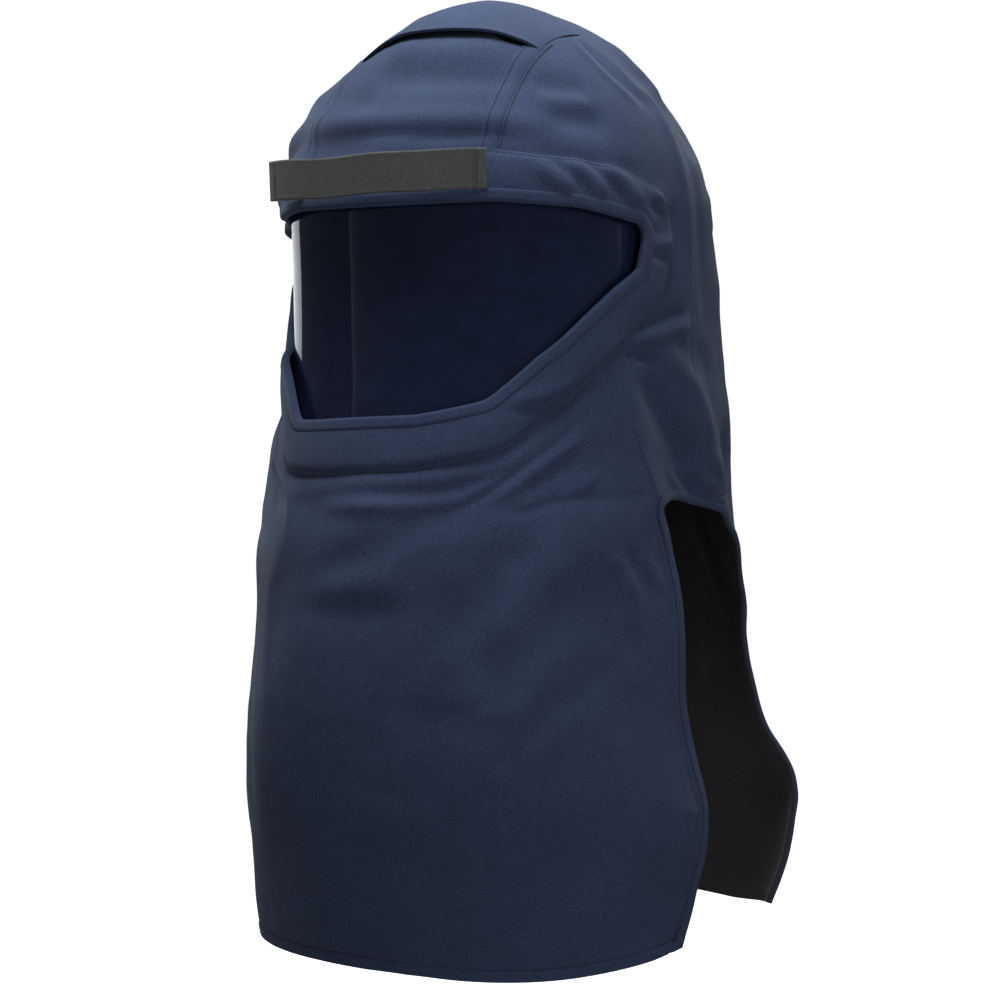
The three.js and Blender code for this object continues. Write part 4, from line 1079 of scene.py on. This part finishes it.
def smoothed(values, times=3, closed=False):
    for _ in range(times):
        before, after = np.roll(values, 1, axis=0), np.roll(values, -1, axis=0)
        if not closed:
            before[0], after[-1] = values[0], values[-1]
        values = 0.25 * before + 0.5 * values + 0.25 * after
    return values


def face_binding():
    angle, depth = band_angle_depth(0.0)
    lift = BAND_LIFT + FACING_WALL
    points, normals = cloth_frame(angle, depth, lift)
    normals = unit(smoothed(normals, 4, True))
    middle = ring_point(np.zeros(1), np.array([opening_depth(0.45)]))[0]
    sides = unit(smoothed(edge_sides(points, normals, middle, True), 1, True))
    leg, thickness = 7.0, SHELL_WALL + lift
    return edging_object("face_binding", points, normals, sides, leg, leg, thickness, [NAVY], closed=True)


def arm_route(side):
    """Places of an arm opening's edge: up the bib's edge, over the arch and down the drape's edge."""
    down = np.linspace(1, BIB_SPLIT, 130)
    _, bib_depth = bib_place(np.ones_like(down), down)
    bib = np.stack([bib_edge(bib_depth), bib_depth], axis=1)
    drape_depth = np.concatenate([np.linspace(ARM_TOP, 452, 40), np.linspace(452, HOOD_HEIGHT, 120)[1:]])
    shorter = (DRAPE_HEM[0][1] - HOOD_HEIGHT) * hem_settle(drape_depth)
    drape_part = np.stack([drape_edge(drape_depth), drape_depth + shorter], axis=1)
    share = np.linspace(0, 1, 16)[1:-1]
    arch_angle = mix(bib[-1, 0], drape_part[0, 0], share)
    arch = np.stack([arch_angle, ARM_TOP - ARM_RISE * np.sin(math.pi * share)], axis=1)
    route = np.vstack([bib, arch, drape_part])
    kinds = np.concatenate([np.zeros(len(bib)), np.full(len(arch), 0.5), np.ones(len(drape_part))])
    return route * np.array([side, 1]), smoothed(kinds, 8)


def arm_frame(side, route):
    """Points along an arm opening's edge, with the cloth's outward direction and the way into the opening."""
    points, normals = cloth_frame(route[:, 0], route[:, 1])
    normals = unit(smoothed(normals, 5))
    middle = ring_point(np.full(len(route), side * ARM_MIDDLE_ANGLE), np.maximum(route[:, 1], ARM_TOP + 60))
    return points, normals, edge_sides(points, normals, middle, False)


def arm_edging(side):
    route, kinds = arm_route(side)
    route = np.vstack([route[:1], smoothed(route, 4)[1:-1], route[-1:]])
    on_bib = mix(10.0, 5.0, np.clip(kinds * 2, 0, 1))
    lengths = np.where(kinds < 0.5, on_bib, mix(5.0, 3.2, (kinds - 0.5) * 2))
    inward = mix(7.0, 10.5, kinds)
    points, normals, sides = arm_frame(side, route)
    sides = unit(smoothed(sides, 2))
    name = "arm_edging_left" if side > 0 else "arm_edging_right"
    thickness = SHELL_WALL + (LINING_WALL + SEAM_GAP) * kinds.mean()
    return edging_object(name, points, normals, sides, lengths, inward, thickness, [NAVY, BLACK])


VISOR_SIDE_INSET, VISOR_FRONT_INSET = 7.7, 10.0
VISOR_RIGHT_END, VISOR_LEFT_END = -90, 86
VISOR_TUCK = 14
VISOR_WALL = 2.0


def visor_lens():
    """The tinted sheet, a plain curve inside the hood's rings."""
    angle = np.linspace(VISOR_RIGHT_END, VISOR_LEFT_END, 150)
    depth = np.linspace(OPENING_TOP - VISOR_TUCK, OPENING_TOP + OPENING_HEIGHT + VISOR_TUCK, 22)
    width, front = ring_at(depth)[:2]
    half_width = (width - VISOR_SIDE_INSET)[:, None]
    reach = (front - VISOR_FRONT_INSET)[:, None]
    sine, cosine = np.sin(np.radians(angle)), np.cos(np.radians(angle))
    points = np.stack([
        half_width * signed_power(sine, 2 / RING_POWER),
        -reach * signed_power(cosine, 2 / RING_POWER),
        (CROWN_TOP - depth)[:, None] + 0 * angle,
    ], axis=-1)
    return sheet_object("visor_lens", [points], VISOR_WALL, [VISOR], round_edge=0.4, outward=FORWARD)


NET_HALF_WIDTH, NET_AHEAD, NET_BEHIND = 82, 34, -22
NET_WALL, NET_GAP = 1.0, 1.8


def vent_net():
    offsets = np.linspace(-NET_HALF_WIDTH, NET_HALF_WIDTH, 60)
    ahead = np.linspace(NET_AHEAD, NET_BEHIND, 22)
    angle, depth = strip_place(offsets[None, :], VENT_RUN + ahead[:, None] * RUN_PER_MM)
    points = cloth(angle, depth, -SHELL_WALL - NET_GAP)
    return sheet_object("vent_net", [points], NET_WALL, [NET], round_edge=0)


# The strap: offsets of its ends, the depth of its middle, and its stand-off from the band
STRAP_NEAR_END, STRAP_FAR_END = 87, -104
STRAP_DEPTH, STRAP_STANDOFF = 145, 11
WEBBING_WIDTH, WEBBING_HALF_THICKNESS = 32, 0.8


def strap_route():
    """Plan of the strap's middle: across the brow, round its folded end and back to its sewn end."""
    level = float(STRAP_DEPTH + WEBBING_WIDTH / 2)
    rest = 1.0 + FACING_WALL + WEBBING_HALF_THICKNESS + 0.3
    fold_radius = 2.4

    def off(offset, gap):
        angle = angle_across(np.array(float(offset)), np.array(level))
        point = cloth(angle, np.array(level))
        normal = ring_normal(np.asarray(angle, float), np.array(level))
        return point[:2] + normal[:2] * gap

    face = []
    for share in np.linspace(0, 1, 25):
        rise = math.sin(math.pi * share) if share < 0.5 else 1 + (share - 0.5) * 0.7
        face.append(off(mix(STRAP_NEAR_END, STRAP_FAR_END, share), rest + STRAP_STANDOFF * rise))
    end = face[-1]
    along = unit(end - face[-2])
    inward = np.array([along[1], -along[0]])
    if inward @ (end - np.array([0, -20])) > 0:
        inward = -inward
    turn = [end + fold_radius * (along * math.sin(a) + inward * (1 - math.cos(a)))
            for a in np.radians([30, 60, 90, 120, 150, 180])]
    sewn = off(STRAP_FAR_END + 24, rest)
    back = [mix(turn[-1], sewn, share) for share in (0.35, 0.7, 1.0)]
    return np.array(face + turn + back)


def brow_webbing():
    """A length of webbing with thick selvedges, swept along its route with a little rise and fall."""
    route = strap_route()
    along = unit(np.gradient(route, axis=0))
    across = np.stack([along[:, 1], -along[:, 0]], axis=1)
    half, thick = WEBBING_WIDTH / 2, WEBBING_HALF_THICKNESS
    selvedge = [(0.0, 0.0), (0.3, 0.8), (1.4, 1.12), (2.6, 0.92)]
    section = [(-half + inset, thick * share) for inset, share in selvedge]
    section += [(up, thick * 0.95) for up in np.linspace(-half + 5, half - 5, 8)]
    section += [(half - inset, thick * share) for inset, share in reversed(selvedge)]
    section += [(up, -out) for up, out in reversed(section[1:-1])]
    walked = walked_along(route)
    rings, marks = [], []
    for index, middle in enumerate(route):
        share = min(walked[index] / 230, 1)
        sag = 0.9 * math.sin(2.4 * math.pi * share) + 0.5 * math.sin(5.3 * math.pi * share + 1)
        level = CROWN_TOP - STRAP_DEPTH + sag
        rings.append([(*(middle + across[index] * out), level + up) for up, out in section])
        marks.append([(walked[index] * MM, up * MM) for up, out in section])
    return swept_object("brow_webbing", rings, marks, [WEBBING])


# Stitching


# A stitch: corners of its section, and its stations along and their sizes as shares of length and radius
STITCH_SIDES = 5
STITCH_STATIONS = [(-1.0, 0.25), (-0.8, 0.9), (0.8, 0.9), (1.0, 0.25)]


def stitch_points(centre, along, side, up, length, radius, sink):
    points = []
    for share, size in STITCH_STATIONS:
        middle = centre + along * share * length / 2 + up * (sink - 0.35 * share**4)
        for turn in np.arange(STITCH_SIDES) * 2 * math.pi / STITCH_SIDES:
            points.append(middle + (side * math.cos(turn) + up * math.sin(turn) * 0.8) * radius * size)
    return points


def stitch_faces(first):
    sides = STITCH_SIDES
    last = first + (len(STITCH_STATIONS) - 1) * sides
    faces = [tuple(range(first, first + sides))[::-1], tuple(range(last, last + sides))]
    for start in range(first, last, sides):
        for k in range(sides):
            after = start + (k + 1) % sides
            faces.append((start + k, after, after + sides, start + k + sides))
    return faces


def stitch_object(name, lines, material, length=2.6, pitch=3.6, radius=0.47, sink=0.1):
    """Rows of stitches along 3-D lines with normals."""
    vertices, faces = [], []
    for points, normals in lines:
        walked = walked_along(points)
        centres = np.arange(pitch / 2, walked[-1], pitch)

        def read(values, places):
            return np.stack([np.interp(places, walked, values[:, axis]) for axis in range(3)], axis=1)

        along = unit(read(points, centres + 0.5) - read(points, centres - 0.5))
        side = unit(np.cross(read(normals, centres), along))
        for frame in zip(read(points, centres), along, side, np.cross(along, side)):
            faces.extend(stitch_faces(len(vertices)))
            vertices.extend(stitch_points(*frame, length, radius, sink))
    piece = listed_object(name, [tuple(vertex * MM) for vertex in vertices], faces, material)
    piece.data.uv_layers.new(name="weave")
    finish_mesh(piece, 80)
    return piece


def surface_line(angles, depths, lift=0.0):
    return cloth_frame(np.asarray(angles, float), np.asarray(depths, float), lift)


def strip_line(offset, lift):
    depths = np.linspace(OPENING_TOP - 22, VENT_DEPTH - 2, 60)
    return surface_line(angle_across(np.full(60, float(offset)), depths), depths, lift)


def closed_line(share, lift):
    angle, depth = band_angle_depth(share)
    points, normals = cloth_frame(angle, depth, lift)
    return np.vstack([points, points[:1]]), np.vstack([normals, normals[:1]])


FELL_INSET = 10.5
FELL_STITCHES = (2.2, 11.8)
EDGE_STITCH, EDGE_STITCH_LIFT = 8.6, 1.2


def seam_fell(side):
    """The felled seam beside the crown strip, a narrow raised tape with a sewn line along both edges."""
    depths = spaced(OPENING_TOP - 18, VENT_DEPTH - 4, 2.4)
    columns = np.array([-0.6, 0.2, 1.2, 2.2, 3.4, 7.0, 10.6, 11.8, 12.8, 13.6, 14.2])
    lifts = np.array([0.15, 0.95, 1.25, 0.55, 1.15, 1.35, 1.15, 0.5, 1.2, 0.9, 0.15])
    offsets = STRIP_HALF_WIDTH - FELL_INSET + columns
    angle = angle_across(offsets[None, :], depths[:, None] + 0 * offsets[None, :])
    points = cloth(side * angle, depths[:, None] + 0 * angle, lifts[None, :])
    name = "crown_seam_left" if side > 0 else "crown_seam_right"
    return sheet_object(name, [points], 0.6, [NAVY], round_edge=0)


pieces = {}
SHELL_PANELS = {
    "crown_front": crown_front(), "crown_back": crown_back(), "cheek_left": side_panel(1),
    "cheek_right": side_panel(-1), "bib": front_bib(), "drape_outer": drape(),
}
for name, patches in SHELL_PANELS.items():
    pieces[name] = sheet_object(name, patches, SHELL_WALL, [NAVY, BLACK])
pieces["drape_inner"] = sheet_object("drape_inner", drape(LINING_INSET, -SHELL_WALL - SEAM_GAP), LINING_WALL,
                                     [BLACK], round_edge=0.3)
pieces["face_band"] = sheet_object("face_band", face_band(), FACING_WALL, [NAVY, BLACK], round_edge=0.4,
                                   outward=FORWARD)
pieces["face_binding"] = face_binding()
pieces["arm_edging_left"] = arm_edging(1)
pieces["arm_edging_right"] = arm_edging(-1)
pieces["crown_seam_left"] = seam_fell(1)
pieces["crown_seam_right"] = seam_fell(-1)
pieces["visor_lens"] = visor_lens()
pieces["vent_net"] = vent_net()
pieces["brow_webbing"] = brow_webbing()


def stitch_lines():
    lines = []
    for side in (1, -1):
        for offset in FELL_STITCHES:
            lines.append(strip_line(side * (STRIP_HALF_WIDTH - FELL_INSET + offset), 0.55))
        route, kinds = arm_route(side)
        points, normals, sides = arm_frame(side, smoothed(route, 4))
        on_bib = kinds < 0.35
        line = points - sides * EDGE_STITCH + normals * EDGE_STITCH_LIFT
        lines.append((line[on_bib], normals[on_bib]))
    across = np.linspace(-1, 1, 320)
    angle, depth = bib_place(across, np.ones_like(across))
    lines.append(surface_line(angle, depth - HEM_STITCH, -0.7))
    edge = float(drape_edge(np.array(float(HOOD_HEIGHT)))) + 3
    turns = wrap(np.linspace(edge, 360 - edge, 300))
    lines.append(surface_line(turns, read_table(DRAPE_HEM, np.abs(turns)) - HEM_STITCH, -0.7))
    lines.append(closed_line(BAND_STITCH, BAND_LIFT + FACING_WALL - 0.9))
    lines.append(closed_line(0.145, BAND_LIFT + FACING_WALL + 0.45))
    return lines


def strap_stitches():
    """Two upright rows of stitches at each end of the strap's outer face."""
    route = strap_route()
    heights = np.linspace(-14, 14, 20)
    lines = []
    for station in (1, 23):
        along = unit(route[station + 1] - route[station - 1])
        out = np.array([along[1], -along[0]])
        if out @ route[station] < 0:
            out = -out
        for shift in (-1.2, 1.2):
            base = np.array([*(route[station] + along * shift + out * 0.95), CROWN_TOP - STRAP_DEPTH])
            points = base + heights[:, None] * np.array([0.0, 0.0, 1.0])
            lines.append((points, np.tile([*out, 0.0], (len(heights), 1))))
    return lines


pieces["stitching"] = stitch_object("stitching", stitch_lines(), THREAD)
pieces["strap_stitching"] = stitch_object("strap_stitching", strap_stitches(), DARK_THREAD, 1.8, 2.6, 0.35)

REPLACED = {
    "crown_front": ["crown_front_panel"], "crown_back": ["crown_back_panel"],
    "cheek_left": ["side_panel_left"],
    "cheek_right": ["side_panel_right"], "bib": ["front_bib"], "drape_outer": ["back_drape"],
    "drape_inner": ["drape_lining"], "face_band": ["visor_surround"], "face_binding": ["visor_binding"],
    "arm_edging_left": ["arm_binding_left"], "arm_edging_right": ["arm_binding_right"],
    "visor_lens": ["visor"], "vent_net": ["vent_mesh"], "brow_webbing": ["brow_strap"],
}
for name, piece in pieces.items():
    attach(piece, "root")
for name, nodes in REPLACED.items():
    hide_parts(*nodes)


# Camera, stage and light

AZIMUTH, ELEVATION, ROLL, DISTANCE = math.radians(31), math.radians(3.5), math.radians(2.0), 2.6
TARGET = Vector((0, -0.008, -0.4036))
back = Vector((math.sin(AZIMUTH) * math.cos(ELEVATION), -math.cos(AZIMUTH) * math.cos(ELEVATION),
               math.sin(ELEVATION)))
level_right = Vector((math.cos(AZIMUTH), math.sin(AZIMUTH), 0))
level_up = back.cross(level_right)
right = level_right * math.cos(ROLL) - level_up * math.sin(ROLL)
up = level_right * math.sin(ROLL) + level_up * math.cos(ROLL)
camera_data = bpy.data.cameras.new("camera")
camera_data.sensor_width = 36
camera_data.lens = 112.32
camera_data.shift_x = 0.003
camera_data.shift_y = -0.008
camera = place_object("camera", camera_data)
turn = Matrix((right, up, back)).transposed().to_4x4()
turn.translation = TARGET + back * DISTANCE
camera.matrix_world = turn
bpy.context.scene.camera = camera


def stage_paint():
    made, tree, shader = new_material("stage_paint")
    grain = add_node(tree, "ShaderNodeTexNoise", {"Scale": 3.0})
    tone = mixed_colour(tree, grain.outputs["Fac"], (0.90, 0.90, 0.90), (0.93, 0.93, 0.93))
    tree.links.new(tone, shader.inputs["Base Color"])
    shader.inputs["Roughness"].default_value = 1.0
    shader.inputs["Emission Color"].default_value = (1, 1, 1, 1)
    shader.inputs["Emission Strength"].default_value = 0.95
    return made


# Radius and height of the stage's rings, in metres, from the edge of its floor up its wall
STAGE_RINGS = [(2.5, -1.25), (5.0, -1.25), (6.2, -1.1), (7.0, -0.6), (7.4, 0.4), (7.5, 2.5), (7.5, 6.0)]
STAGE_TURNS = 72
STAGE_PAINT = stage_paint()


def stage_bowl():
    """A pale floor that curves up into a pale wall all round."""
    built = bmesh.new()
    turns = np.arange(STAGE_TURNS) * 2 * math.pi / STAGE_TURNS
    rows = [[built.verts.new((radius * math.cos(turn), radius * math.sin(turn), height)) for turn in turns]
            for radius, height in STAGE_RINGS]
    built.faces.new(rows[0])
    for lower, upper in zip(rows[:-1], rows[1:]):
        for k in range(STAGE_TURNS):
            after = (k + 1) % STAGE_TURNS
            built.faces.new([lower[k], lower[after], upper[after], upper[k]])
    bowl = built_object("stage_bowl", built, [STAGE_PAINT])
    finish_mesh(bowl, 80)
    bowl.visible_diffuse = False
    bowl.visible_glossy = False
    bowl.visible_shadow = False


stage_bowl()


def stage_card():
    """A white card behind the object, seen only in the visor's glancing reflections."""
    middle = TARGET - back * 2.4 - level_right * 1.1
    side, rise = level_right * 1.0, Vector((0, 0, 1.1))
    corners = [middle - side - rise, middle + side - rise, middle + side + rise, middle - side + rise]
    card = listed_object("stage_card", corners, [(0, 1, 2, 3)], STAGE_PAINT)
    card.visible_camera = False
    card.visible_diffuse = False
    card.visible_transmission = False
    card.visible_shadow = False


stage_card()


# Lights: place, size and power, and where they point. Only the strip behind shows in the visor's gloss.
LIGHTS = {
    "key": ((0.0, -0.26, 0.84), (0.9, 0.6), 30, (0, -0.10, -0.02)),
    "front_fill": ((1.9, -2.2, -0.9), (2.0, 1.4), 8, (0, 0, -0.52)),
    "low_fill": ((-0.3, -2.0, -1.9), (2.4, 1.0), 12.5, (0, -0.2, -0.74)),
    "left_strip": ((-2.2, -1.2, -0.2), (0.8, 2.2), 3, (0, 0, -0.45)),
    "right_strip": ((2.3, -0.5, 0.0), (1.2, 2.2), 23, (0, 0, -0.35)),
    "back_strip": ((-0.6, 2.4, 0.7), (2.0, 1.4), 19, (0, 0, -0.3)),
}
for name, (place, size, power, aim) in LIGHTS.items():
    light = bpy.data.lights.new(name, "AREA")
    light.shape = "RECTANGLE"
    light.size, light.size_y = size
    light.energy = power
    lamp = place_object(name, light)
    lamp.location = place
    lamp.visible_glossy = name == "back_strip"
    lamp.rotation_euler = (Vector(aim) - Vector(place)).to_track_quat("-Z", "Y").to_euler()

world = bpy.data.worlds.new("studio")
world.use_nodes = True
world.node_tree.nodes["Background"].inputs["Color"].default_value = (1, 1, 1, 1)
world.node_tree.nodes["Background"].inputs["Strength"].default_value = 0.07
bpy.context.scene.world = world
bpy.context.scene.view_settings.view_transform = "Standard"
